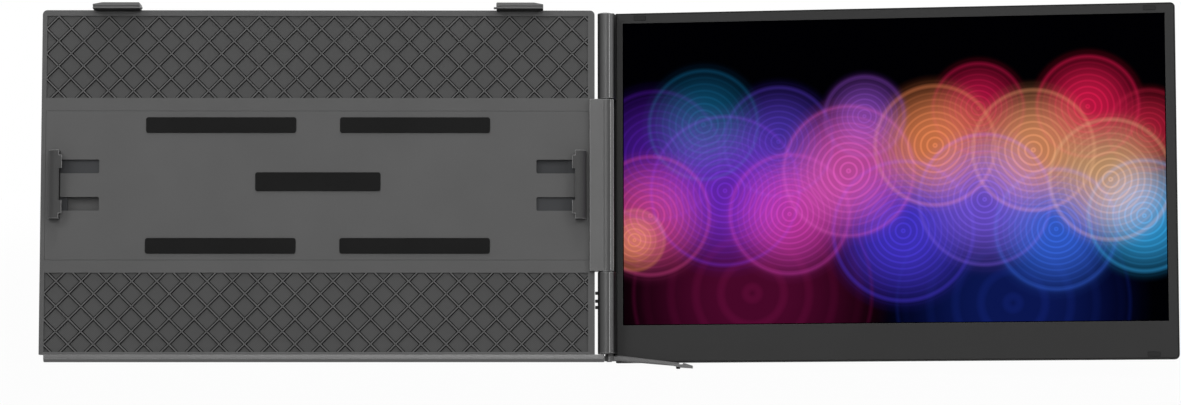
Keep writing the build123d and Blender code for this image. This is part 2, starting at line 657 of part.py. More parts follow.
for barrel_name, (start, end) in barrel_spans.items():
    with BuildPart() as barrel:
        rods(panel_level(start), [(0, 0)], BARREL_R, end - start)
        block(panel_level(start), LUG_X, PANEL_X, 0, -SPINE_FRONT, end - start)
        block(panel_level(start), 0, round_at[0], -SHOULDER_RISE, 0, end - start)
        block(panel_level(start), 0, BARREL_SHOULDER, round_at[1], SCREEN_SET - RIM_DROP,
              end - start)
        rods(panel_level(start), [round_at], SHOULDER_ROUND, end - start)
        rods(panel_level(start), [(0, 0)], SHAFT_R + SHAFT_FIT, end - start, Mode.SUBTRACT)
        rods(panel.offset(SPINE_FRONT), [(screw_lug_x, v) for v in barrel_screws_at[barrel_name]],
             SMALL_SCREW_R + SCREW_FIT, SPINE_SCREW_L + FIT, Mode.SUBTRACT)
        if barrel_name == "lower_barrel":
            rods(panel_level(start), [(0, 0)], BUTTON_BORE, button_bore_end - start,
                 Mode.SUBTRACT)
            rods(panel_side(-BUTTON_TIP), [(0, -TOP + v) for v in BUTTON_V],
                 BUTTON_R + BUTTON_FIT, BUTTON_TIP - BOARD_AT, Mode.SUBTRACT)
            rods(panel_level(start), [(LEG_PIN_X, LEG_PIN_D)], LEG_PIN_R + SCREW_FIT,
                 LEG_PIN_BORE, Mode.SUBTRACT)
            block(panel_level(ribbon_v - ribbon_half - FIT), ribbon_x - RIBBON_T,
                  ribbon_x + RIBBON_T, 0, -SPINE_FRONT, 2 * (ribbon_half + FIT), Mode.SUBTRACT)
    save(barrel_name, barrel)

# Domed cap on the upper barrel, a slice of a ball
dome_ball = (BARREL_R ** 2 + DOME_H ** 2) / (2 * DOME_H)
with BuildPart() as upper_barrel_cap:
    with BuildSketch(Plane(origin=axis_point + UP * BARREL_TOP, x_dir=SWUNG_X,
                           z_dir=SWUNG_N)) as dome:
        with BuildLine():
            Line((0, 0), (BARREL_R, 0))
            RadiusArc((BARREL_R, 0), (0, DOME_H), -dome_ball)
            Line((0, DOME_H), (0, 0))
        make_face()
    revolve(dome.sketch, axis=Axis(axis_point, UP))
save("upper_barrel_cap", upper_barrel_cap)

with BuildPart() as lower_barrel_cap:
    rods(panel_level(BARREL_LOW - CAP_T), [(0, 0)], BARREL_R, CAP_T)
    rods(panel_level(BARREL_LOW), [(0, 0)], BUTTON_BORE - FIT, CAP_PLUG)
save("lower_barrel_cap", lower_barrel_cap)

# Button board with its switches, upright in the lower barrel
board_low = -TOP + BUTTON_V[2] - BUTTON_BOARD_LOW
board_high = -TOP + BUTTON_V[0] + BUTTON_BOARD_HIGH
with BuildPart() as button_board:
    block(panel_side(-BOARD_AT), -BUTTON_BOARD_W / 2, BUTTON_BOARD_W / 2, board_low, board_high, BOARD_T)
    for v in BUTTON_V:
        block(panel_side(-BOARD_AT), -SWITCH_SIZE / 2, SWITCH_SIZE / 2,
              -TOP + v - SWITCH_SIZE / 2, -TOP + v + SWITCH_SIZE / 2, -SWITCH_T)
save("button_board", button_board)

# Three buttons that stick out beside the lower barrel
flange_at = BOARD_AT + SWITCH_T + BUTTON_TRAVEL
for button_name, v in zip(("power_button", "plus_button", "minus_button"), BUTTON_V):
    with BuildPart() as button:
        rods(panel_side(-BUTTON_TIP), [(0, -TOP + v)], BUTTON_R, BUTTON_TIP - flange_at)
        chamfer(button.faces().sort_by(Axis(axis_point, SWUNG_X))[0].edges(), length=BUTTON_BEVEL)
        rods(panel_side(-flange_at), [(0, -TOP + v)], FLANGE_R, -FLANGE_T)
    save(button_name, button)

# Ribbon from the button board through the lug into the monitor
ribbon_d = (PANEL_INNER + MODULE_BACK) / 2
with BuildPart() as button_ribbon:
    block(panel_level(ribbon_v - ribbon_half), ribbon_x - RIBBON_T / 2, ribbon_x + RIBBON_T / 2,
          SHAFT_R, -ribbon_d + RIBBON_T / 2, 2 * ribbon_half)
    block(panel_level(ribbon_v - ribbon_half), ribbon_x, ribbon_x + BUTTON_RIBBON_L,
          -ribbon_d - RIBBON_T / 2, -ribbon_d + RIBBON_T / 2, 2 * ribbon_half)
save("button_ribbon", button_ribbon)

# Back cover of the monitor with the spine behind the hinge
spine_screws_at = barrel_screws_at["upper_barrel"] + barrel_screws_at["lower_barrel"]
spine_low = BARREL_LOW - SPINE_DROP
board_left = PANEL_RIGHT - BOARD_RIGHT - BOARD_W
board_right = PANEL_RIGHT - BOARD_RIGHT
usb_x = [board_right - SOCKET_END, board_right - SOCKET_END - SOCKET_PITCH]
hdmi_x = [board_right - SOCKET_END - 2 * SOCKET_PITCH]
board_bottom = PANEL_BOTTOM + PANEL_WALL + BOARD_GAP
board_posts = [(x, v) for x in (board_left + POST_IN, board_right - POST_IN)
               for v in (board_bottom + POST_ROW, board_bottom + BOARD_H - POST_ROW)]
with BuildPart() as back_cover:
    panel_blank(panel.offset(PANEL_BACK), 0, PANEL_T - RIM_DROP)
    back_face = back_cover.faces().sort_by(Axis(axis_point, SWUNG_N))[0]
    chamfer(back_face.edges(), length=BACK_BEVEL)
    block(panel.offset(PANEL_INNER), PANEL_X + PANEL_WALL, PANEL_RIGHT - PANEL_WALL,
          PANEL_BOTTOM + PANEL_WALL, PANEL_TOP - PANEL_WALL, PANEL_T, Mode.SUBTRACT, PANEL_R / 2)
    panel_blank(panel.offset(BEZEL_BACK), RIM, PANEL_T, Mode.SUBTRACT)
    block(panel.offset(PANEL_BACK), PANEL_X + BACK_PANEL_IN, PANEL_RIGHT - BACK_PANEL_IN,
          PANEL_BOTTOM + BACK_PANEL_IN, PANEL_TOP - BACK_PANEL_IN, BACK_PANEL_DEPTH,
          Mode.SUBTRACT, PANEL_R)
    block(panel.offset(PANEL_BACK + SPINE_STEP), SPINE_X, PANEL_X + PANEL_WALL, spine_low,
          BARREL_TOP, SPINE_T - SPINE_STEP)
    block(panel.offset(PANEL_BACK), SPINE_X + SPINE_STEP, PANEL_X + PANEL_WALL,
          spine_low + SPINE_STEP, BARREL_TOP - SPINE_STEP, SPINE_T)
    rods(panel.offset(PANEL_BACK), [(screw_lug_x, v) for v in spine_screws_at],
         SMALL_SCREW_R + SCREW_FIT, SPINE_T, Mode.SUBTRACT)
    rods(panel.offset(PANEL_BACK), [(screw_lug_x, v) for v in spine_screws_at],
         SMALL_HEAD_R + SCREW_FIT, SMALL_HEAD_T, Mode.SUBTRACT)
    block(panel_level(ribbon_v - ribbon_half - FIT), ribbon_x - RIBBON_T, ribbon_x + RIBBON_T,
          -SPINE_FRONT, -ribbon_d + RIBBON_T, 2 * (ribbon_half + FIT), Mode.SUBTRACT)
    block(panel_level(ribbon_v - ribbon_half - FIT), ribbon_x - RIBBON_T, PANEL_X + PANEL_WALL,
          -ribbon_d - RIBBON_T, -ribbon_d + RIBBON_T, 2 * (ribbon_half + FIT), Mode.SUBTRACT)
    rods(panel.offset(PANEL_INNER), board_posts, POST_R, BOARD_FOOT)
    for x, width in [(usb, USB_W) for usb in usb_x] + [(hdmi, HDMI_W) for hdmi in hdmi_x]:
        block(panel_level(PANEL_BOTTOM), x - width / 2 - FIT, x + width / 2 + FIT,
              -BOARD_FRONT - USB_H - FIT, -BOARD_FRONT + FIT, PANEL_WALL, Mode.SUBTRACT,
              radius=SOCKET_ROUND + FIT)
save("back_cover", back_cover)

with BuildPart() as spine_screws:
    for v in spine_screws_at:
        rods(panel.offset(PANEL_BACK), [(screw_lug_x, v)], SMALL_HEAD_R, SMALL_HEAD_T)
        rods(panel.offset(PANEL_BACK + SMALL_HEAD_T), [(screw_lug_x, v)], SMALL_SCREW_R,
             SPINE_T - SMALL_HEAD_T + SPINE_SCREW_L)
save("spine_screws", spine_screws)

# Bezel round the screen, with pockets for the bumpers
window = (ACTIVE_X - BLACK_EDGE, ACTIVE_X + ACTIVE_W + BLACK_EDGE,
          ACTIVE_LOW - BLACK_EDGE, ACTIVE_HIGH + BLACK_EDGE)
bumper_x = (PANEL_X + BUMPER_SIDE, PANEL_RIGHT - BUMPER_SIDE - BUMPER_W)
bumper_v = (PANEL_BOTTOM + BUMPER_TOP, PANEL_TOP - BUMPER_TOP - BUMPER_H)
bumpers_at = [(x, v) for x in bumper_x for v in bumper_v]
bumpers_at.remove((bumper_x[0], bumper_v[0]))   # the support leg lies here
with BuildPart() as bezel:
    panel_blank(panel.offset(BEZEL_BACK), RIM + FIT, BEZEL_T)
    block(panel.offset(BEZEL_BACK), *window, BEZEL_T, Mode.SUBTRACT)
    for x, v in bumpers_at:
        block(panel.offset(BEZEL_FACE), x - FIT, x + BUMPER_W + FIT, v - FIT,
              v + BUMPER_H + FIT, -BUMPER_SINK, Mode.SUBTRACT, radius=BUMPER_ROUND + FIT)
save("bezel", bezel)

with BuildPart() as bumpers:
    for x, v in bumpers_at:
        block(panel.offset(BEZEL_FACE - BUMPER_SINK), x, x + BUMPER_W, v, v + BUMPER_H,
              BUMPER_SINK + BUMPER_PROUD, radius=BUMPER_ROUND)
save("bumpers", bumpers)

# Screen film, and the backlight module behind it
film = (window[0] - FILM_LAP, window[1] + FILM_LAP, window[2] - FILM_LAP, window[3] + FILM_LAP)
with BuildPart() as screen:
    block(panel.offset(FILM_BACK), *film, FILM_T)
save("screen", screen)

with BuildPart() as backlight:
    block(panel.offset(MODULE_BACK), film[0], film[1], film[2] - DRIVER_H, film[3], MODULE_T)
save("backlight", backlight)

# Foam strips that press the backlight module against the bezel
foam_gap = MODULE_BACK - PANEL_INNER
with BuildPart() as foam_strips:
    for v in (ACTIVE_LOW + FOAM_ROW, ACTIVE_HIGH - FOAM_ROW - FOAM_H):
        block(panel.offset(PANEL_INNER), ACTIVE_X + FOAM_NEAR, ACTIVE_X + ACTIVE_W - FOAM_FAR,
              v, v + FOAM_H, foam_gap)
save("foam_strips", foam_strips)

# Main board with its chips and connector
with BuildPart() as main_board:
    block(panel.offset(PANEL_INNER + BOARD_FOOT), board_left, board_right, board_bottom,
          board_bottom + BOARD_H, BOARD_T)
    for start, width in ((CHIP_X, CHIP_W), (SMALL_CHIP_X, SMALL_CHIP_W)):
        block(panel.offset(BOARD_FRONT), board_left + start, board_left + start + width,
              board_bottom + CHIP_ROW, board_bottom + CHIP_ROW + width, CHIP_T)
save("main_board", main_board)

# Sockets in the monitor's lower edge: a shell with a tongue
socket_level = panel_level(PANEL_BOTTOM + SOCKET_IN)
tongue_d = -BOARD_FRONT - USB_H / 2
for socket_name, places, width in (("usb_sockets", usb_x, USB_W), ("hdmi_socket", hdmi_x, HDMI_W)):
    with BuildPart() as sockets:
        for x in places:
            block(socket_level, x - width / 2, x + width / 2, -BOARD_FRONT - USB_H,
                  -BOARD_FRONT, USB_L, radius=SOCKET_ROUND)
            block(socket_level, x - width / 2 + SOCKET_WALL, x + width / 2 - SOCKET_WALL,
                  -BOARD_FRONT - USB_H + SOCKET_WALL, -BOARD_FRONT - SOCKET_WALL,
                  USB_L - SOCKET_FLOOR, Mode.SUBTRACT, radius=SOCKET_ROUND - SOCKET_WALL)
            block(socket_level, x - width / 2 + TONGUE_IN, x + width / 2 - TONGUE_IN,
                  tongue_d - TONGUE_T / 2, tongue_d + TONGUE_T / 2, USB_L)
    save(socket_name, sockets)

# Ribbon from the main board to the screen's driver strip
ribbon_left = board_left + RIBBON_X
with BuildPart() as screen_ribbon:
    foot = board_bottom + BOARD_H - RIBBON_FOOT
    block(panel.offset(MODULE_BACK - RIBBON_T), ribbon_left, ribbon_left + RIBBON_W, foot,
          film[2] + RIBBON_LAP, RIBBON_T)
    block(panel.offset(BOARD_FRONT), ribbon_left + RIBBON_INSET,
          ribbon_left + RIBBON_W - RIBBON_INSET, foot, foot + RIBBON_FOOT,
          MODULE_BACK - RIBBON_T - BOARD_FRONT)
save("screen_ribbon", screen_ribbon)

# Support leg below the hinge: an eye, an arm that falls to its foot, and a finger tab
notch_x = LEG_REACH - LEG_NOTCH_X
tab_x = notch_x + LEG_NOTCH_W + LEG_TAB_RUN
arm_end = LEG_TOP - LEG_FALL
tip_low = arm_end - LEG_TIP_H - LEG_TIP_T
leg_points = [
    (LEG_PIN_X, LEG_TOP),
    (LEG_LEVEL, LEG_TOP),
    (notch_x, arm_end),
    (notch_x, arm_end - LEG_NOTCH_H),
    (notch_x + LEG_NOTCH_W, arm_end - LEG_NOTCH_H),
    (tab_x, arm_end - LEG_TAB_FALL),
    (tab_x + LEG_TAB_L, arm_end - 2 * LEG_TAB_FALL),
    (LEG_REACH, arm_end - LEG_TIP_H),
    (LEG_REACH, tip_low),
    (LEG_REACH - LEG_SOLE_L, tip_low + LEG_SOLE_RISE),
    (LEG_HEEL_X, arm_end - LEG_HEEL_T),
    (LEG_LEVEL, LEG_LOW),
    (LEG_PIN_X, LEG_LOW),
]
leg_back = -LEG_PIN_D - LEG_T / 2
foot_low = arm_end - LEG_FOOT_LOW
with BuildPart() as support_leg:
    prism(panel.offset(leg_back), leg_points, LEG_T)
    front_edges = support_leg.faces().sort_by(Axis(axis_point, SWUNG_N))[-1].edges()
    chamfer(front_edges.sort_by(SortBy.LENGTH)[-2:], length=LEG_BEVEL)
    rods(panel_level(LEG_LOW), [(LEG_PIN_X, LEG_PIN_D)], LEG_EYE_R, LEG_H)
    rods(panel_level(LEG_LOW), [(LEG_PIN_X, LEG_PIN_D)], LEG_PIN_R + PIN_FIT, LEG_H,
         Mode.SUBTRACT)
    rods(panel_level(foot_low), [(LEG_FOOT_X, LEG_PIN_D)], LEG_FOOT_R + SCREW_FIT, LEG_FOOT_H,
         Mode.SUBTRACT)
save("support_leg", support_leg)

with BuildPart() as leg_foot:
    rods(panel_level(foot_low), [(LEG_FOOT_X, LEG_PIN_D)], LEG_FOOT_R, LEG_FOOT_H)
    chamfer(leg_foot.faces().sort_by(Axis(axis_point, UP))[0].edges(), length=LEG_FOOT_BEVEL)
save("leg_foot", leg_foot)

pin_low = LEG_LOW - LEG_HEAD_GAP
collar_low = LEG_TOP + LEG_HEAD_GAP
with BuildPart() as leg_pin:
    rods(panel_level(pin_low), [(LEG_PIN_X, LEG_PIN_D)], LEG_PIN_R,
         BARREL_LOW + LEG_PIN_UP - pin_low)
    rods(panel_level(collar_low), [(LEG_PIN_X, LEG_PIN_D)], LEG_COLLAR_R, BARREL_LOW - collar_low)
    rods(panel_level(pin_low), [(LEG_PIN_X, LEG_PIN_D)], LEG_HEAD_R, -LEG_HEAD_T)
save("leg_pin", leg_pin)

# Clamp arms. Both are drawn about the pinion, the right one turned by half a turn.
tooth_pitch = pi * MODULE
rack_root = PITCH_R + DEDENDUM
rack_half_tip = RACK_PITCH / 2 - ADDENDUM * sin(radians(PRESSURE))
rack_half_root = RACK_PITCH / 2 + DEDENDUM * sin(radians(PRESSURE))
rack_teeth = int(CLAMP_TRAVEL / tooth_pitch + RACK_SPARE)
rack_end = RACK_AHEAD * tooth_pitch
pinion_point = UP * KNUCKLE_MID
half_turns = {"left": 1, "right": -1}
for side, turn in half_turns.items():
    about = Plane(origin=pinion_point, x_dir=ACROSS * turn, z_dir=NORMAL)

    with BuildPart() as arm:
        block(about.offset(ARM_BACK), -JAW_OUT, rack_end, rack_root, rack_root + ARM_H, ARM_T)
        block(about.offset(ARM_BACK), -JAW_OUT, -FOOT_IN, -FOOT_H / 2, FOOT_H / 2, ARM_T,
              radius=FOOT_ROUND)
        with BuildSketch(about.offset(ARM_BACK)) as teeth:
            for i in range(-rack_teeth, 2):
                x = (i + 0.5) * tooth_pitch
                with BuildLine():
                    Polyline((x - rack_half_root, rack_root + TOOTH_ROOT),
                             (x - rack_half_root, rack_root),
                             (x - rack_half_tip, PITCH_R - ADDENDUM),
                             (x + rack_half_tip, PITCH_R - ADDENDUM),
                             (x + rack_half_root, rack_root),
                             (x + rack_half_root, rack_root + TOOTH_ROOT), close=True)
                make_face()
        extrude(teeth.sketch, amount=ARM_T)
        for step in (-NECK_PITCH / 2, NECK_PITCH / 2):
            block(about.offset(ARM_FRONT), -neck_centre - NECK_W / 2, -neck_centre + NECK_W / 2,
                  step - NECK_H / 2, step + NECK_H / 2, FACE + JAW_FLOAT - ARM_FRONT,
                  radius=NECK_ROUND)
            rods(about.offset(ARM_BACK), [(-neck_centre, step)], SMALL_SCREW_R + SCREW_FIT,
                 FACE + JAW_FLOAT - ARM_BACK, Mode.SUBTRACT)
    save(f"{side}_clamp_arm", arm)

    jaw_base = FACE + JAW_FLOAT
    jaw_top_edge = Plane(origin=pinion_point - UP * turn * JAW_H / 2, x_dir=ACROSS * turn,
                         z_dir=UP * turn)
    liner_h = JAW_H - 2 * LINER_END
    liner_base = jaw_base + LINER_LOW
    liner_top = JAW_MOUTH - LINER_HIGH
    round_x = -JAW_OUT + JAW_ROUND
    round_y = -JAW_TOP + JAW_ROUND
    with BuildPart() as jaw:
        with BuildSketch(jaw_top_edge) as jaw_profile:
            with BuildLine():
                Polyline((-JAW_OUT, round_y), (-JAW_OUT, -jaw_base), (-JAW_IN, -jaw_base),
                         (-JAW_IN, -JAW_TOP), (round_x, -JAW_TOP))
                CenterArc((round_x, round_y), JAW_ROUND, 180, 90)
            make_face()
        extrude(jaw_profile.sketch, amount=JAW_H)
        block(about.offset(liner_base), -JAW_IN - LINER_T, -JAW_IN, -liner_h / 2, liner_h / 2,
              liner_top - liner_base, Mode.SUBTRACT)
        for step in (-LIP_PITCH / 2, LIP_PITCH / 2):
            block(about.offset(JAW_MOUTH), -JAW_IN - LIP_ROOT, -JAW_IN + LIP_OVER, step - LIP_H / 2,
                  step + LIP_H / 2, LIP_T)
        for step in (-NECK_PITCH / 2, NECK_PITCH / 2):
            rods(about.offset(jaw_base), [(-neck_centre, step)], SMALL_SCREW_R + SCREW_FIT,
                 JAW_SCREW_IN + FIT, Mode.SUBTRACT)
    save(f"{side}_jaw", jaw)

    with BuildPart() as liner:
        block(about.offset(liner_base), -JAW_IN - LINER_T, -JAW_IN, -liner_h / 2, liner_h / 2,
              liner_top - liner_base)
    save(f"{side}_jaw_liner", liner)

    with BuildPart() as jaw_screws:
        for step in (-NECK_PITCH / 2, NECK_PITCH / 2):
            rods(about.offset(ARM_BACK), [(-neck_centre, step)], SMALL_SCREW_R,
                 jaw_base + JAW_SCREW_IN - ARM_BACK)
    save(f"{side}_jaw_screws", jaw_screws)

# Guides on the rear cover's floor, one pair at each of two places on each arm
guide_x = -(FOOT_IN - CLAMP_TRAVEL - GUIDE_CLEAR - GUIDE_L / 2)
guide_low = rack_root - GUIDE_FIT - GUIDE_T
guide_high = rack_root + ARM_H + GUIDE_FIT
with BuildPart() as arm_guides:
    for turn in half_turns.values():
        about = Plane(origin=pinion_point, x_dir=ACROSS * turn, z_dir=NORMAL)
        for x in (guide_x, guide_x + GUIDE_PITCH):
            for low in (guide_low, guide_high):
                block(about.offset(FLOOR), x - GUIDE_L / 2, x + GUIDE_L / 2, low, low + GUIDE_T,
                      ARM_FRONT + SLIDE / 2 - FLOOR)
save("arm_guides", arm_guides)

# Pinion between the two racks, on its pin
pinion_plane = Plane(origin=pinion_point, x_dir=ACROSS, z_dir=NORMAL).offset(ARM_BACK)
cog_root = PITCH_R - DEDENDUM
with BuildPart() as pinion:
    rods(pinion_plane, [(0, 0)], cog_root, ARM_T)
    with BuildSketch(pinion_plane) as cogs:
        with PolarLocations(0, TEETH):
            with BuildLine(mode=Mode.PRIVATE) as cog:
                Polyline((cog_root - COG_IN, -PINION_ROOT / 2), (cog_root, -PINION_ROOT / 2),
                         (PITCH_R + ADDENDUM, -PINION_TIP / 2),
                         (PITCH_R + ADDENDUM, PINION_TIP / 2),
                         (cog_root, PINION_ROOT / 2), (cog_root - COG_IN, PINION_ROOT / 2),
                         close=True)
            add(make_face(cog.edges(), mode=Mode.PRIVATE))
    extrude(cogs.sketch, amount=ARM_T)
    rods(pinion_plane, [(0, 0)], PIN_R + PIN_FIT, ARM_T, Mode.SUBTRACT)
save("pinion", pinion)

with BuildPart() as pinion_pin:
    rods(front.offset(REAR), [(0, KNUCKLE_MID)], PIN_R, COVER_BACK - REAR)
save("pinion_pin", pinion_pin)

with BuildPart() as drag_washer:
    rods(front.offset(ARM_FRONT + DRAG_GAP), [(0, KNUCKLE_MID)], DRAG_R, DRAG_T)
    rods(front.offset(ARM_FRONT + DRAG_GAP), [(0, KNUCKLE_MID)], PIN_R + SCREW_FIT, DRAG_T,
         Mode.SUBTRACT)
save("drag_washer", drag_washer)

# Top hooks. A hook's tapered end points away from the plate's middle.
for side, out in (("left", -1), ("right", 1)):
    centre = out * HOOK_X
    pad_low = TOP - HOOK_DROP
    body_low = pad_low + HOOK_PAD_T
    body_high = TOP + HOOK_H
    inner_end = centre - out * HOOK_W / 2
    outer_end = centre + out * HOOK_W / 2
    hook_points = [
        (inner_end, body_low),
        (inner_end, body_high - HOOK_BEVEL),
        (inner_end + out * HOOK_BEVEL, body_high),
        (outer_end - out * HOOK_TAPER, body_high),
        (outer_end, body_high - HOOK_TAPER_H),
        (outer_end, body_low),
    ]
    pad_points = [
        (inner_end + out * HOOK_PAD_IN, body_low),
        (inner_end + out * HOOK_PAD_IN, pad_low),
        (outer_end - out * HOOK_PAD_TAPER, pad_low),
        (outer_end, pad_low + HOOK_PAD_TAPER_H),
        (outer_end, body_low),
    ]
    groove_low = body_low + GROOVE_RISE
    with BuildPart() as hook:
        prism(front.offset(STEM_BACK), hook_points, HOOK_REACH - STEM_BACK)
        block(front.offset(HOOK_REACH), centre - HOOK_W, centre + HOOK_W, groove_low,
              groove_low + GROOVE_H, -GROOVE_IN, Mode.SUBTRACT)
        block(front.offset(STEM_BACK), centre - STEM_W / 2, centre + STEM_W / 2, TOP - STEM_L,
              body_low, STEM_T)
        knob_at = ACROSS * inner_end + UP * (body_low + KNOB_RISE) + NORMAL * (HOOK_REACH - KNOB_IN)
        rods(Plane(origin=knob_at, x_dir=NORMAL, z_dir=ACROSS * -out), [(0, 0)], KNOB_R, KNOB_L)
    save(f"{side}_hook", hook)

    with BuildPart() as hook_pad:
        prism(front, pad_points, HOOK_REACH - HOOK_PAD_BACK)
    save(f"{side}_hook_pad", hook_pad)

# Rails that guide the hooks' stems
with BuildPart() as hook_guides:
    for left_edge, right_edge in stem_edges:
        for start in (left_edge - GUIDE_FIT - HOOK_RAIL, right_edge + GUIDE_FIT):
            block(front.offset(FLOOR), start, start + HOOK_RAIL, TOP - SIDE_WALL - STEM_L,
                  TOP - SIDE_WALL, COVER_BACK - FLOOR)
save("hook_guides", hook_guides)
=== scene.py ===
"""Dress a portable monitor that hangs beside a lid on a clamp-on plate.

Sizes are in millimetres along a sub-assembly's own axes: x to the right, v up and w out of
its face. Finished meshes are in metres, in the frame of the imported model.
"""

from __future__ import annotations

import json
import logging
import math
from dataclasses import dataclass, field
from enum import Enum
from functools import partial
from typing import Any, Iterable, Sequence

import bmesh
import bpy
from bpy.types import ID, Material, Mesh, Node, NodeSocket, NodeTree, Object
from mathutils import Matrix, Vector
from mathutils.bvhtree import BVHTree

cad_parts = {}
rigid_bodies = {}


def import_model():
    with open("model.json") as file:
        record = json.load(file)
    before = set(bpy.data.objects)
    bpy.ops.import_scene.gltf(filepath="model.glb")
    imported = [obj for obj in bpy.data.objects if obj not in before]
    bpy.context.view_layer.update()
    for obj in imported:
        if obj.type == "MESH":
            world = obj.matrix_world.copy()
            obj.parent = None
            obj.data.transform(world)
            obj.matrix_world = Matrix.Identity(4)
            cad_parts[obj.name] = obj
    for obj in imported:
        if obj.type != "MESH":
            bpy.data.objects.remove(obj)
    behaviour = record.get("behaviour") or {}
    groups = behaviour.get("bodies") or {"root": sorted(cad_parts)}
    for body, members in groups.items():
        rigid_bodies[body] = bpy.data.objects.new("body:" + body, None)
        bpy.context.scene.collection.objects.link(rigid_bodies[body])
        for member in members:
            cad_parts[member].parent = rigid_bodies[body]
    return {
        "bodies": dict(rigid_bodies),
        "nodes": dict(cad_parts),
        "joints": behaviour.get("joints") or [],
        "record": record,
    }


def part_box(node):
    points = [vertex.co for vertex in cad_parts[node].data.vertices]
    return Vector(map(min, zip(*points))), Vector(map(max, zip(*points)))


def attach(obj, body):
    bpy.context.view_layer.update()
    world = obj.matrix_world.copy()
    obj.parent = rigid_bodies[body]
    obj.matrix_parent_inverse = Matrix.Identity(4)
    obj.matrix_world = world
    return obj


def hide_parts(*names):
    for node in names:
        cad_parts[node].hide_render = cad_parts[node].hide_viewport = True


LOG = logging.getLogger("portable_monitor")
MM = 0.001
LEAN = math.radians(11.4)      # the plate leans back
SWING = math.radians(8.9)      # the monitor's far side comes forward
AXIS_X = 184.1                 # hinge axis from the plate's middle
AXIS_W = -1.6                  # hinge axis from the pads' front
WELD = 0.002                   # loose triangles are joined within this distance
FLAT = math.radians(0.6)       # faces this near to one plane become one face
EDGE = math.radians(28.0)      # a sharper bend than this is an edge
OPEN_AIR = 25.0                # a face that sees nothing this near is an outer face
SKIN = 0.01                    # the look out starts this far off the face


# Colours, nodes and finishes


GRAIN_TINT = 0.55              # how far the grain moves the colour between its two tones
GRAIN_BASE = -0.27             # and where it starts from
GRAIN_RANGE = (0.3, 0.7)       # where most of the noise's values lie
HATCH_BASE = -0.2              # how far tool lines darken the colour
HATCH_WAVE = 0.2 * math.pi     # the diagonal wave at scale 1 repeats after this much x + y + z
BUMP = 0.6                     # strength of every bump


def linear(code: str) -> tuple[float, float, float, float]:
    """Turn an sRGB hex code into a linear colour.

    Args:
        code: Six hex digits after a hash sign.

    Returns:
        Red, green, blue and full opacity.
    """
    parts = [int(code[i:i + 2], 16) / 255 for i in (1, 3, 5)]
    red, green, blue = (p / 12.92 if p <= 0.04045 else ((p + 0.055) / 1.055) ** 2.4 for p in parts)
    return red, green, blue, 1.0


def add_node(tree: NodeTree, kind: str, inputs: dict[Any, Any] | None = None,
             **settings: Any) -> Node:
    """Add a node with its settings, values and links.

    Args:
        tree: Node tree that gets the node.
        kind: Blender's name for the node type.
        inputs: Input name or number, and its value or what feeds it: an output, or a node for
            its first output.
        settings: Properties of the node.

    Returns:
        The new node.
    """
    node = tree.nodes.new(kind)
    for name, value in settings.items():
        setattr(node, name, value)
    for key, value in (inputs or {}).items():
        if isinstance(value, Node):
            value = value.outputs[0]
        if isinstance(value, NodeSocket):
            tree.links.new(value, node.inputs[key])
        else:
            node.inputs[key].default_value = value
    return node


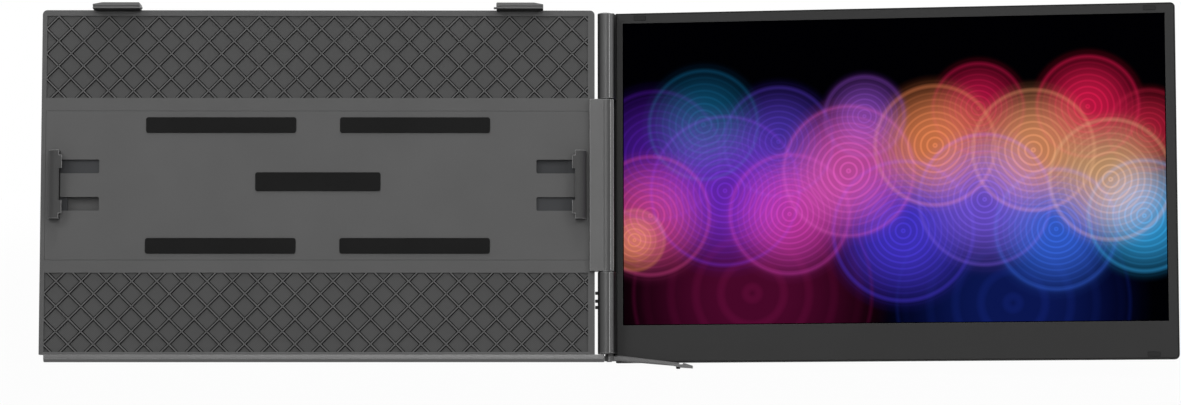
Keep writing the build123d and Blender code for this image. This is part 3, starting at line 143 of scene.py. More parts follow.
@dataclass(frozen=True)
class Finish:
    """A surface: its two tones, how it takes the light, and its grain.

    Grain, depth, cloud and hatch are in millimetres. The real grain of these surfaces is 0.05 to
    0.3 mm, too fine to show from where the object is seen, so it is drawn at 0.5 to 2 mm.
    """

    name: str
    colour: str                    # one tone, as a hex code
    tint: str                      # the other tone
    roughness: float
    metallic: float = 0.0
    ior: float = 1.5
    specular: float = 0.5
    grain: float = 0.9             # size of the grain
    depth: float = 0.02            # height of the bumps
    cloud: float = 40.0            # size of the soft patches between the tones
    worn_sheen: str = ""                 # colour of the worn edges, a painted highlight too
    stretch: tuple[float, float, float] = (1.0, 1.0, 1.0) # pull of the grain along each axis
    spread: float = 0.06           # how far the roughness varies
    hatch: float = 0.0             # distance between slanting tool lines

    def material(self) -> Material:
        """Make the material the first time it is asked for.

        Returns:
            The material.
        """
        made = bpy.data.materials.get(self.name)
        if made:
            return made
        made = bpy.data.materials.new(self.name)
        made.use_nodes = True
        tree = made.node_tree
        tree.nodes.clear()
        shader = add_node(tree, "ShaderNodeBsdfPrincipled", {
            "Metallic": self.metallic, "IOR": self.ior, "Specular IOR Level": self.specular,
            **self.surface(tree)})
        add_node(tree, "ShaderNodeOutputMaterial", {"Surface": shader})
        return made

    def surface(self, tree: NodeTree) -> dict[str, Any]:
        """Make grain, cloudy colour, and worn edges painted pale as a highlight.

        Args:
            tree: The material's node tree.

        Returns:
            The shader's inputs, and what feeds each.
        """
        add = partial(add_node, tree)
        place = add("ShaderNodeTexCoord").outputs["Object"]
        pulled = add("ShaderNodeMapping", {"Vector": place, "Scale": self.stretch})
        grain = add("ShaderNodeTexNoise", {
            "Vector": pulled, "Scale": 1 / (self.grain * MM), "Detail": 3.0})
        cloud = add("ShaderNodeTexNoise", {
            "Vector": place, "Scale": 1 / (self.cloud * MM), "Detail": 2.0})
        blend = add("ShaderNodeMath", {
            0: grain, 1: GRAIN_TINT, 2: GRAIN_BASE}, operation="MULTIPLY_ADD")
        share = add("ShaderNodeMath", {0: blend, 1: cloud}, operation="ADD", use_clamp=True)
        height = grain
        if self.hatch:
            height = add("ShaderNodeTexWave", {
                "Vector": place, "Scale": HATCH_WAVE / (self.hatch * math.sqrt(2) * MM)},
                bands_direction="DIAGONAL").outputs[1]
            share = add("ShaderNodeMath", {
                0: height, 1: share, 2: HATCH_BASE}, operation="MULTIPLY_ADD")
        paint = add("ShaderNodeMix", {
            0: share, 6: linear(self.colour), 7: linear(self.tint)}, data_type="RGBA").outputs[2]
        # Rounded edges are mixed toward the pale edge colour: wear, and a painted highlight along
        # each edge.
        if self.worn_sheen:
            wear_and_sheen = add("ShaderNodeAttribute", attribute_name="edge_wear").outputs["Fac"]
            rubbed_sheen = add("ShaderNodeMath", {0: wear_and_sheen, 1: grain}, operation="MULTIPLY")
            paint = add("ShaderNodeMix", {
                0: rubbed_sheen, 6: paint, 7: linear(self.worn_sheen)}, data_type="RGBA").outputs[2]
        rough = add("ShaderNodeMapRange", {
            "Value": grain, 1: GRAIN_RANGE[0], 2: GRAIN_RANGE[1], 3: self.roughness - self.spread,
            4: self.roughness + self.spread})
        bump = add("ShaderNodeBump", {
            "Height": height, "Distance": self.depth * MM, "Strength": BUMP})
        return {"Base Color": paint, "Roughness": rough, "Normal": bump}


@dataclass(frozen=True)
class Glow:
    """A disc of light on the screen, with fine rings in it and a bright rim.

    Its place is given in shares of the lit area, its reach in heights of that area.
    """

    across: float
    up: float
    reach: float
    colour: str
    strength: float
    rings: float                   # rings in one height of the lit area


@dataclass(frozen=True)
class ScreenFinish(Finish):
    """A lit display under an anti-glare film. It glows, and its black stays deep."""

    glows: tuple[Glow, ...] = ()
    wide: float = 16 / 9           # width of the lit area, in heights
    core: float = 0.15             # share of the reach at full strength
    ring_share: float = 0.3        # how much darker a disc is between its rings
    rim_at: float = 0.82           # where the rim lies, as a share of the reach
    rim_width: float = 0.01        # half its width, in heights
    rim_share: float = 0.25        # its strength as a share of the disc's
    line_from: float = 0.2         # a ring starts where its wave passes this

    def surface(self, tree: NodeTree) -> dict[str, Any]:
        """Lay the discs of light over each other.

        Args:
            tree: The material's node tree.

        Returns:
            The shader's inputs, and what feeds each.
        """
        add = partial(add_node, tree)
        field_uv = add("ShaderNodeUVMap", uv_map="screen")
        place = add("ShaderNodeMapping", {"Vector": field_uv, "Scale": (self.wide, 1.0, 0.0)})
        picture = linear(self.tint)
        for glow in self.glows:
            away = add("ShaderNodeVectorMath", {
                0: place, 1: (glow.across * self.wide, glow.up, 0.0)},
                operation="DISTANCE").outputs["Value"]
            soft = add("ShaderNodeMapRange", {
                "Value": away, 1: glow.reach, 2: glow.reach * self.core, 3: 0.0, 4: glow.strength},
                interpolation_type="SMOOTHSTEP")
            turns = add("ShaderNodeMath", {0: away, 1: glow.rings * math.tau}, operation="MULTIPLY")
            wave = add("ShaderNodeMath", {0: turns}, operation="SINE")
            line = add("ShaderNodeMapRange", {
                "Value": wave, 1: self.line_from, 2: 1.0, 3: 1.0 - self.ring_share, 4: 1.0})
            past = add("ShaderNodeMath", {
                0: away, 1: glow.reach * self.rim_at}, operation="SUBTRACT")
            off = add("ShaderNodeMath", {0: past}, operation="ABSOLUTE")
            rim = add("ShaderNodeMapRange", {
                "Value": off, 1: self.rim_width, 2: 0.0, 3: 0.0, 4: glow.strength * self.rim_share})
            share = add("ShaderNodeMath", {
                0: soft, 1: line, 2: rim}, operation="MULTIPLY_ADD", use_clamp=True)
            picture = add("ShaderNodeMix", {
                0: share, 6: picture, 7: linear(glow.colour)}, data_type="RGBA",
                blend_type="SCREEN").outputs[2]
        parts = add("ShaderNodeSeparateXYZ", {0: field_uv})
        # The lit area lies within half of its size from its middle, across and up.
        inside = [add("ShaderNodeMath", {
            0: parts.outputs[axis], 1: 0.5, 2: 0.5}, operation="COMPARE") for axis in (0, 1)]
        lit = add("ShaderNodeMath", dict(enumerate(inside)), operation="MULTIPLY")
        shown = add("ShaderNodeMix", {
            0: lit, 6: linear("#000000"), 7: picture}, data_type="RGBA").outputs[2]
        return {"Base Color": linear(self.colour), "Roughness": self.roughness,
                "Emission Strength": 1.0, "Emission Color": shown}


# Glass-filled nylon, spark-eroded mould: flat grey with a dry, fine grain, and paler worn edges
# that are also a painted highlight.
NYLON = Finish("glass_filled_nylon", "#5d5d5d", "#666666", 0.6, ior=1.53, specular=0.2,
               worn_sheen="#858585")
# The same nylon in the sunk panels: one tone darker, painted shade in the recess, with fine
# slanting tool lines on the floor.
# The real lines are about 0.4 mm apart, drawn at 1 mm to show.
NYLON_SUNK_SHADED = Finish("glass_filled_nylon_sunk", "#545454", "#686868", 0.65, ior=1.53,
                    specular=0.15, hatch=1.0)
# The ribs: the same nylon painted a shade paler, a painted highlight on their lit faces.
NYLON_HIGHLIT = Finish("glass_filled_nylon_crest", "#626262", "#6c6c6c", 0.58, ior=1.53, specular=0.2)
# A nearly black strip along each rib's foot: painted shadow of the rib on the panel floor.
NYLON_SHADOW_STRIP = Finish("glass_filled_nylon_root", "#0e0e0e", "#161616", 0.7, ior=1.53, specular=0.1)
# Moulded ABS of the bezel: near black, matt, an even fine texture.
BEZEL_ABS = Finish("moulded_abs", "#343434", "#393939", 0.55, ior=1.53, specular=0.12,
                   grain=0.8, worn_sheen="#4e4e4e")
# Near-black ABS of the back cover; its thin rim draws a black line round the bezel, a painted
# shadow of the rim that turns away.
COVER_ABS_SHADED = Finish("moulded_abs_dark", "#131313", "#191919", 0.5, ior=1.53, specular=0.15,
                   grain=0.8, worn_sheen="#262626")
# Soft-touch paint on the jaws: dark, velvety, with a wide dull highlight, and pale worn edges that
# are also a painted highlight.
SOFT_TOUCH = Finish("soft_touch_paint", "#3e3e3e", "#464646", 0.5, ior=1.48, specular=0.25,
                    grain=1.2, depth=0.01, worn_sheen="#a8a8a8")
# Satin paint on the hooks: a mid grey that catches the light from above.
HOOK_PAINT = Finish("satin_painted_nylon", "#606060", "#686868", 0.42, specular=0.3,
                    grain=1.0, depth=0.008, worn_sheen="#8c8c8c")
# Die-cast zinc of the hinge, gunmetal plated: dark flanks, a satin highlight on each crest.
SATIN_ZINC = Finish("gunmetal_plated_zinc", "#434343", "#494949", 0.42, metallic=1.0,
                    grain=0.6, depth=0.004, worn_sheen="#8c8c8c")
# Lacquered steel of the leg and the lower bar: grey, and bright where it is seen along its top.
LACQUER = Finish("satin_lacquered_steel", "#505050", "#585858", 0.33, ior=1.55, specular=0.6,
                 grain=0.5, depth=0.006, worn_sheen="#8c8c8c")
# Phosphated steel of the clamp arms and the hinge leaf: dark grey, dull, faintly flecked.
PHOSPHATE = Finish("phosphated_steel", "#2e2f31", "#3b3c3e", 0.6, metallic=0.6,
                   grain=0.7, depth=0.006)
# Zinc-plated steel of shafts, rivets and sockets: bright, with faint drawn lines.
BRIGHT_STEEL = Finish("zinc_plated_steel", "#b4b6b8", "#c4c6c8", 0.3, metallic=1.0,
                      grain=0.8, depth=0.004, stretch=(0.06, 1.0, 1.0))
# Black oxide on the screws: almost black, oily sheen.
BLACK_OXIDE = Finish("black_oxide_steel", "#2a2a2c", "#323234", 0.36, metallic=0.8,
                     grain=0.5, depth=0.004, worn_sheen="#606060")
# Silicone rubber of pads, liners and foot: black, very matt, slightly dusty.
RUBBER = Finish("silicone_rubber", "#161616", "#1e1e1e", 0.78, ior=1.41, specular=0.15,
                grain=1.4, depth=0.02)
# Silicone of the bumpers, coloured like the bezel that they sit in.
BUMPER = Finish("bumper_silicone", "#303030", "#353535", 0.7, ior=1.41, specular=0.15,
                grain=1.4, depth=0.02)
# Gloss ABS of the buttons and the seams of the hinge: black with a small highlight.
GLOSS_ABS = Finish("gloss_abs", "#090909", "#0e0e0e", 0.24, ior=1.54, specular=0.2, grain=1.5,
                   depth=0.002, spread=0.03)
# Natural acetal of sliding parts: off-white, waxy.
ACETAL = Finish("natural_acetal", "#e4e2da", "#dcd9cf", 0.4, ior=1.48, grain=1.5, depth=0.006)
# Sintered bronze of the friction sleeves: brown-gold, speckled by its open pores.
BRONZE = Finish("sintered_bronze", "#a9793f", "#8f6433", 0.45, metallic=1.0, grain=0.7, depth=0.015)
# Green solder mask of the boards: glossy, with a faint mottle of the glass cloth under it.
SOLDER_MASK = Finish("solder_mask", "#0f5a34", "#17683f", 0.28, ior=1.55, grain=0.5, depth=0.006)
# Open-cell foam: charcoal, coarse pores.
FOAM = Finish("open_cell_foam", "#35353a", "#222226", 0.95, ior=1.4, specular=0.1, grain=1.1,
              depth=0.3)
# White-coated backlight tray: clean, low gloss.
TRAY_WHITE = Finish("coated_tray", "#d9dadb", "#cfd1d3", 0.45, grain=2.0, depth=0.004)
# Polyimide ribbons: amber film, streaked by the copper lines under it.
POLYIMIDE = Finish("polyimide_ribbon", "#b5701d", "#8f5412", 0.3, ior=1.7, grain=0.8,
                   depth=0.01, stretch=(1.0, 0.05, 0.05))
# The display: overlapping discs of light with fine rings, in violet, blue, rose and amber.
# An anti-glare film keeps reflections off, so its black stays black.
DISPLAY = ScreenFinish("lit_display", "#010102", "#000001", 0.4, specular=0.0, glows=(
    Glow(0.06, 0.56, 0.26, "#4a1a96", 0.85, 42.0),
    Glow(0.05, 0.36, 0.24, "#d8488c", 0.75, 48.0),
    Glow(0.02, 0.28, 0.12, "#f09040", 0.70, 60.0),
    Glow(0.15, 0.66, 0.22, "#16608a", 0.70, 46.0),
    Glow(0.19, 0.44, 0.30, "#6c2cc8", 0.90, 50.0),
    Glow(0.29, 0.60, 0.22, "#5038b4", 0.80, 52.0),
    Glow(0.31, 0.36, 0.24, "#d040b0", 0.85, 54.0),
    Glow(0.42, 0.50, 0.26, "#e05ab8", 0.85, 46.0),
    Glow(0.45, 0.68, 0.16, "#8a4cc0", 0.70, 58.0),
    Glow(0.52, 0.30, 0.28, "#4a3ad8", 0.90, 50.0),
    Glow(0.58, 0.58, 0.24, "#f08a58", 0.85, 48.0),
    Glow(0.67, 0.40, 0.26, "#7a5ae4", 0.85, 52.0),
    Glow(0.66, 0.70, 0.18, "#c01848", 0.85, 56.0),
    Glow(0.76, 0.56, 0.24, "#f4a070", 0.80, 46.0),
    Glow(0.80, 0.30, 0.24, "#3a6ae8", 0.85, 54.0),
    Glow(0.86, 0.70, 0.20, "#d81c4c", 0.90, 50.0),
    Glow(0.90, 0.46, 0.24, "#f0b888", 0.75, 48.0),
    Glow(0.96, 0.34, 0.22, "#38a8e8", 0.90, 52.0),
    Glow(0.97, 0.62, 0.16, "#b8203c", 0.80, 58.0),
    Glow(0.24, 0.10, 0.48, "#5a0c34", 0.85, 12.0),
    Glow(0.72, 0.06, 0.46, "#101e64", 0.85, 12.0),
))


# Axes and forms


@dataclass(frozen=True)
class Axes:
    """A sub-assembly's own axes: across, up and out of its face, from one origin."""

    origin: Vector
    across: Vector
    up: Vector
    out: Vector

    def matrix(self) -> Matrix:
        """Return the transform from these axes, in millimetres, to the model's frame."""
        turn = Matrix((self.across, self.up, self.out)).transposed().to_4x4()
        return Matrix.Translation(self.origin * MM) @ turn @ Matrix.Scale(MM, 4)

    def span(self, node: str) -> tuple[Vector, Vector]:
        """Return the lowest and highest corner of a node along these axes.

        Args:
            node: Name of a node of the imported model.

        Returns:
            The two corners, in millimetres.
        """
        back = self.matrix().inverted()
        points = [back @ v.co for v in bpy.data.objects[node].data.vertices]
        low = Vector([min(p[i] for p in points) for i in range(3)])
        high = Vector([max(p[i] for p in points) for i in range(3)])
        return low, high


ACROSS = Vector((1.0, 0.0, 0.0))
UP = Vector((0.0, math.sin(LEAN), math.cos(LEAN)))
NORMAL = Vector((0.0, -math.cos(LEAN), math.sin(LEAN)))
PLATE = Axes(Vector((0.0, 0.0, 0.0)), ACROSS, UP, NORMAL)
PANEL = Axes(ACROSS * AXIS_X + NORMAL * AXIS_W,
             ACROSS * math.cos(SWING) + NORMAL * math.sin(SWING), UP,
             NORMAL * math.cos(SWING) - ACROSS * math.sin(SWING))


def rounded_corners(low: Vector, high: Vector, radius: float, steps: int = 8) -> list[Vector]:
    """Return the outline of a rectangle with rounded corners, anticlockwise.

    Args:
        low: Lower left corner.
        high: Upper right corner.
        radius: Radius of the corners.
        steps: Faces round each corner.

    Returns:
        Points of the outline, at w = 0.
    """
    centres = ((high.x - radius, high.y - radius), (low.x + radius, high.y - radius),
               (low.x + radius, low.y + radius), (high.x - radius, low.y + radius))
    points = []
    for quarter, (x, v) in enumerate(centres):
        for step in range(steps + 1):
            angle = math.pi / 2 * (quarter + step / steps)
            points.append(Vector((x + radius * math.cos(angle), v + radius * math.sin(angle), 0)))
    return points


def ring(radius: float, depth: float, count: int, sides: int = 0) -> list[Vector]:
    """Return points on a circle, or on a regular polygon with that corner radius.

    Args:
        radius: Radius to the points or to the polygon's corners.
        depth: The points' w.
        count: Number of points.
        sides: Sides of the polygon, or 0 for a circle.

    Returns:
        The points, anticlockwise.
    """
    points = []
    for i in range(count):
        angle = math.tau * i / count
        reach = radius
        if sides:
            half = math.pi / sides
            reach = radius * math.cos(half) / math.cos((angle % (2 * half)) - half)
        points.append(Vector((reach * math.cos(angle), reach * math.sin(angle), depth)))
    return points


def placed(name: str, data: ID) -> Object:
    """Put an object into the scene, at the origin.

    Args:
        name: Name of the object.
        data: Its mesh, lamp or camera.

    Returns:
        The object.
    """
    made = bpy.data.objects.new(name, data)
    bpy.context.scene.collection.objects.link(made)
    return made


def shade(mesh: Mesh) -> None:
    """Shade a mesh smooth, with a break wherever it bends sharply."""
    mesh.polygons.foreach_set("use_smooth", [True] * len(mesh.polygons))
    mesh.set_sharp_from_angle(angle=EDGE)


def settle(made: Object) -> None:
    """Turn an object's modifiers into plain mesh.

    Args:
        made: The object.
    """
    bpy.context.view_layer.update()
    graph = bpy.context.evaluated_depsgraph_get()
    result = bpy.data.meshes.new_from_object(made.evaluated_get(graph))
    made.modifiers.clear()
    made.data = result


class Form:
    """A closed mesh under construction, in millimetres along a sub-assembly's axes."""

    def __init__(self, axes: Axes) -> None:
        """Start an empty form on the axes."""
        self.axes = axes
        self.shape = bmesh.new()

    @classmethod
    def copied(cls, axes: Axes, node: str) -> Form:
        """Start from a node's own mesh, welded and with its flat faces made whole.

        Args:
            axes: Axes that the form is worked in.
            node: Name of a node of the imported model.

        Returns:
            The new form.
        """
        form = cls(axes)
        form.shape.from_mesh(bpy.data.objects[node].data)
        form.shape.transform(axes.matrix().inverted())
        bmesh.ops.remove_doubles(form.shape, verts=form.shape.verts, dist=WELD)
        bmesh.ops.dissolve_limit(form.shape, angle_limit=FLAT, verts=form.shape.verts,
                                 edges=form.shape.edges)
        return form

    def loft(self, rings: Sequence[Sequence[Vector]]) -> None:
        """Join rings of equal length with faces, one after another, and close both ends.

        Args:
            rings: The rings, each a closed row of points.
        """
        rows = [[self.shape.verts.new(p) for p in points] for points in rings]
        count = len(rows[0])
        for near, far in zip(rows, rows[1:]):
            for i in range(count):
                j = (i + 1) % count
                self.shape.faces.new((near[i], near[j], far[j], far[i]))
        self.shape.faces.new(rows[0])
        self.shape.faces.new(rows[-1])
        bmesh.ops.recalc_face_normals(self.shape, faces=self.shape.faces)

    def slab(self, outline: Sequence[Vector], low: float, high: float) -> None:
        """Stand an outline up between two levels of w."""
        self.loft([[p + Vector((0, 0, w)) for p in outline] for w in (low, high)])

    def outer_faces(self) -> set[int]:
        """Find the faces that look into open air.

        Returns:
            Their indices.
        """
        self.shape.faces.ensure_lookup_table()
        self.shape.faces.index_update()
        tree = BVHTree.FromBMesh(self.shape)
        largest: dict[int, tuple[float, Vector]] = {}
        for loops in self.shape.calc_loop_triangles():
            a, b, c = (loop.vert.co for loop in loops)
            area = (b - a).cross(c - a).length
            index = loops[0].face.index
            if area > largest.get(index, (0.0, None))[0]:
                largest[index] = (area, (a + b + c) / 3)
        outer = set()
        for index, (_, middle) in largest.items():
            normal = self.shape.faces[index].normal
            if tree.ray_cast(middle + normal * SKIN, normal, OPEN_AIR)[0] is None:
                outer.add(index)
        return outer

    def round_edges(self, radius: float, steps: int = 2) -> None:
        """Round the edges between outer faces, and mark the new faces for pale worn edges that are
        also a painted highlight.

        Args:
            radius: How far the rounding reaches on each side of an edge.
            steps: Faces across the rounding.
        """
        outer = self.outer_faces()
        wear_and_sheen = self.shape.faces.layers.float.new("edge_wear")
        edges = [e for e in self.shape.edges
                 if len(e.link_faces) == 2 and e.calc_face_angle(0.0) > EDGE
                 and all(f.index in outer for f in e.link_faces)]
        made = bmesh.ops.bevel(self.shape, geom=edges, offset=radius, segments=steps,
                               profile=0.5, affect="EDGES", clamp_overlap=True)
        for face in made["faces"]:
            face[wear_and_sheen] = 1.0

    def piece(self, name: str, finish: Finish) -> Object:
        """Turn the form into an object at the origin, with its place in its mesh.

        Args:
            name: Name of the object.
            finish: Its finish.

        Returns:
            The object, linked to the scene.
        """
        mesh = bpy.data.meshes.new(name)
        self.shape.transform(self.axes.matrix())
        self.shape.to_mesh(mesh)
        self.shape.free()
        mesh.materials.append(finish.material())
        mesh.polygons.foreach_set("material_index", [0] * len(mesh.polygons))
        shade(mesh)
        made = placed(name, mesh)
        made.modifiers.new("even_light", "WEIGHTED_NORMAL").keep_sharp = True
        return made


# Node trees for what repeats


def modelled(name: str, tree: NodeTree, settings: dict[str, Any], axes: Axes,
             base: Mesh | None = None) -> Object:
    """Run a node tree and keep its result as a plain mesh.

    Args:
        name: Name of the finished piece.
        tree: The geometry node tree.
        settings: Value of each named input.
        axes: Axes that the tree works in.
        base: Mesh that the tree starts from, if it needs one.

    Returns:
        The piece, with no modifier left on it.
    """
    made = placed(name, base or bpy.data.meshes.new(name))
    modifier = made.modifiers.new("rule", "NODES")
    modifier.node_group = tree
    for item in tree.interface.items_tree:
        if item.item_type == "SOCKET" and item.in_out == "INPUT" and item.name in settings:
            modifier[item.identifier] = settings[item.name]
    settle(made)
    made.data.transform(axes.matrix())
    made.data.name = name
    shade(made.data)
    return made


def new_tree(name: str, sockets: Iterable[tuple[str, str]]) -> tuple[NodeTree, dict[str, Any]]:
    """Start a geometry node tree with named inputs and one geometry output.

    Args:
        name: Name of the tree.
        sockets: Name and kind of each input.

    Returns:
        The tree, and its inputs by their names.
    """
    tree = bpy.data.node_groups.new(name, "GeometryNodeTree")
    for label, kind in sockets:
        tree.interface.new_socket(name=label, in_out="INPUT", socket_type=f"NodeSocket{kind}")
    tree.interface.new_socket(name="Geometry", in_out="OUTPUT", socket_type="NodeSocketGeometry")
    return tree, {s.name: s for s in add_node(tree, "NodeGroupInput").outputs if s.name}


@dataclass
class CrossedRibs:
    """Ribs that cross at 45 degrees and end in the walls of a sunk panel, each on a strip of
    painted shadow.
    """

    low: Vector
    high: Vector
    crossing: Vector               # where two ribs cross
    floor: float                   # w of the ribs' feet
    rise: float                    # height above that
    pitch: float = 16.05           # distance between ribs, along x
    width: float = 1.0             # at the foot
    draft: float = 0.72            # width at the top, as a share
    lap: float = 0.4               # how far the ends run into the walls
    root: float = 0.5              # width of the painted shadow strip on each side
    shadow_strip_rise: float = 0.1         # height of the painted shadow strip

    def tree(self) -> NodeTree:
        """Build the rule that lays one set of parallel ribs.

        Returns:
            The node tree.
        """
        numbers = ("Low", "High", "Near Side", "Far Side", "Crossing X", "Crossing V", "Pitch",
                   "Width", "Rise", "Floor", "Draft", "Lap", "Lean", "Before", "Root",
                   "Root Rise", "Turn")
        tree, value = new_tree("crossed_ribs", [(n, "Float") for n in numbers] + [
            ("Ribs", "Int"), ("Finish", "Material"), ("Root Finish", "Material")])
        add = partial(add_node, tree)
        value["index"] = add("GeometryNodeInputIndex")
        value["half"], value["diagonal"] = 0.5, math.sqrt(2)
        # Each rib passes the crossing's height at its own x and runs on until it meets an edge.
        steps = (
            ("order", "SUBTRACT", "index", "Before"),
            ("shift", "MULTIPLY", "order", "Pitch"),
            ("across", "SUBTRACT", "Crossing X", "shift"),
            ("near run", "SUBTRACT", "Near Side", "across"),
            ("near rise", "MULTIPLY", "near run", "Lean"),
            ("near v", "ADD", "Crossing V", "near rise"),
            ("start", "MAXIMUM", "Low", "near v"),
            ("far run", "SUBTRACT", "Far Side", "across"),
            ("far rise", "MULTIPLY", "far run", "Lean"),
            ("far v", "ADD", "Crossing V", "far rise"),
            ("end", "MINIMUM", "High", "far v"),
            ("run", "SUBTRACT", "end", "start"),
            ("both", "ADD", "end", "start"),
            ("middle v", "MULTIPLY", "both", "half"),
            ("above", "SUBTRACT", "middle v", "Crossing V"),
            ("aside", "MULTIPLY", "above", "Lean"),
            ("middle x", "ADD", "across", "aside"),
            ("slope", "MULTIPLY", "run", "diagonal"),
            ("laps", "ADD", "Lap", "Lap"),
            ("length", "ADD", "slope", "laps"),
            ("kept", "GREATER_THAN", "run", "Width"),
            ("half rise", "MULTIPLY", "Rise", "half"),
            ("level", "ADD", "Floor", "half rise"),
            ("both shadow_strips", "ADD", "Root", "Root"),
            ("shadow_strip width", "ADD", "Width", "both shadow_strips"),
            ("half shadow_strip", "MULTIPLY", "Root Rise", "half"),
            ("shadow_strip level", "SUBTRACT", "half shadow_strip", "half rise"),
        )
        for name, operation, left, right in steps:
            value[name] = add("ShaderNodeMath", {
                0: value[left], 1: value[right]}, operation=operation)
        place = add("ShaderNodeCombineXYZ", {
            0: value["middle x"], 1: value["middle v"], 2: value["level"]})
        points = add("GeometryNodePoints", {"Count": value["Ribs"], "Position": place})
        size = add("ShaderNodeCombineXYZ", {0: 1.0, 1: value["Width"], 2: value["Rise"]})
        bar = add("GeometryNodeMeshCube", {"Size": size})
        here = add("GeometryNodeInputPosition")
        parts = add("ShaderNodeSeparateXYZ", {0: here})
        top = add("ShaderNodeMath", {0: parts.outputs[2], 1: 0.0}, operation="GREATER_THAN")
        narrow = add("ShaderNodeCombineXYZ", {0: 1.0, 1: value["Draft"], 2: 1.0})
        drawn = add("ShaderNodeVectorMath", {0: here, 1: narrow}, operation="MULTIPLY")
        tapered = add("GeometryNodeSetPosition", {
            "Geometry": bar, "Selection": top, "Position": drawn})
        # A low, wider strip under each rib takes the dark finish: painted shadow along the rib's
        # foot.
        foot = add("ShaderNodeCombineXYZ", {0: 1.0, 1: value["shadow_strip width"], 2: value["Root Rise"]})
        strip = add("GeometryNodeMeshCube", {"Size": foot})
        down = add("ShaderNodeCombineXYZ", {2: value["shadow_strip level"]})
        low_strip = add("GeometryNodeSetPosition", {"Geometry": strip, "Offset": down})
        marked = add("GeometryNodeStoreNamedAttribute", {
            "Geometry": low_strip, "Name": "root", "Value": True}, data_type="BOOLEAN",
            domain="FACE")
        whole = add("GeometryNodeJoinGeometry", {0: tapered})
        tree.links.new(marked.outputs[0], whole.inputs[0])
        turn = add("ShaderNodeCombineXYZ", {2: value["Turn"]})
        stretch = add("ShaderNodeCombineXYZ", {0: value["length"], 1: 1.0, 2: 1.0})
        laid = add("GeometryNodeInstanceOnPoints", {
            "Points": points, "Selection": value["kept"], "Instance": whole, "Rotation": turn,
            "Scale": stretch})
        real = add("GeometryNodeRealizeInstances", {0: laid})
        paint = add("GeometryNodeSetMaterial", {"Geometry": real, "Material": value["Finish"]})
        at_shadow_strip = add("GeometryNodeInputNamedAttribute", {"Name": "root"}, data_type="BOOLEAN")
        done = add("GeometryNodeSetMaterial", {
            "Geometry": paint, "Selection": at_shadow_strip, "Material": value["Root Finish"]})
        add("NodeGroupOutput", {0: done})
        return tree

    def piece(self, name: str, finish: Finish, shadow_strip_finish: Finish) -> Object:
        """Lay both sets of ribs and join them.

        Args:
            name: Name of the piece.
            finish: Its finish.
            shadow_strip_finish: Finish of the strip along each rib's foot, a painted shadow.

        Returns:
            The piece.
        """
        tree = self.tree()
        # A rib can start beyond the side by as much as the panel is high.
        before = int((self.high.y - self.low.y) / self.pitch) + 2
        count = int((self.high.x - self.low.x) / self.pitch) + 2 * before
        form = bmesh.new()
        for lean in (1.0, -1.0):
            near, far = (self.low.x, self.high.x) if lean > 0 else (self.high.x, self.low.x)
            settings = {
                "Low": self.low.y, "High": self.high.y, "Near Side": near, "Far Side": far,
                "Crossing X": self.crossing.x, "Crossing V": self.crossing.y,
                "Pitch": self.pitch, "Width": self.width, "Rise": self.rise,
                "Floor": self.floor, "Draft": self.draft, "Lap": self.lap, "Lean": lean,
                "Before": float(before), "Ribs": count, "Turn": lean * math.pi / 4,
                "Root": self.root, "Root Rise": self.shadow_strip_rise,
                "Finish": finish.material(), "Root Finish": shadow_strip_finish.material()}
            half = modelled(name, tree, settings, PLATE)
            form.from_mesh(half.data)
            if lean > 0:
                bpy.data.objects.remove(half)
        form.to_mesh(half.data)
        form.free()
        half.name = name
        return half


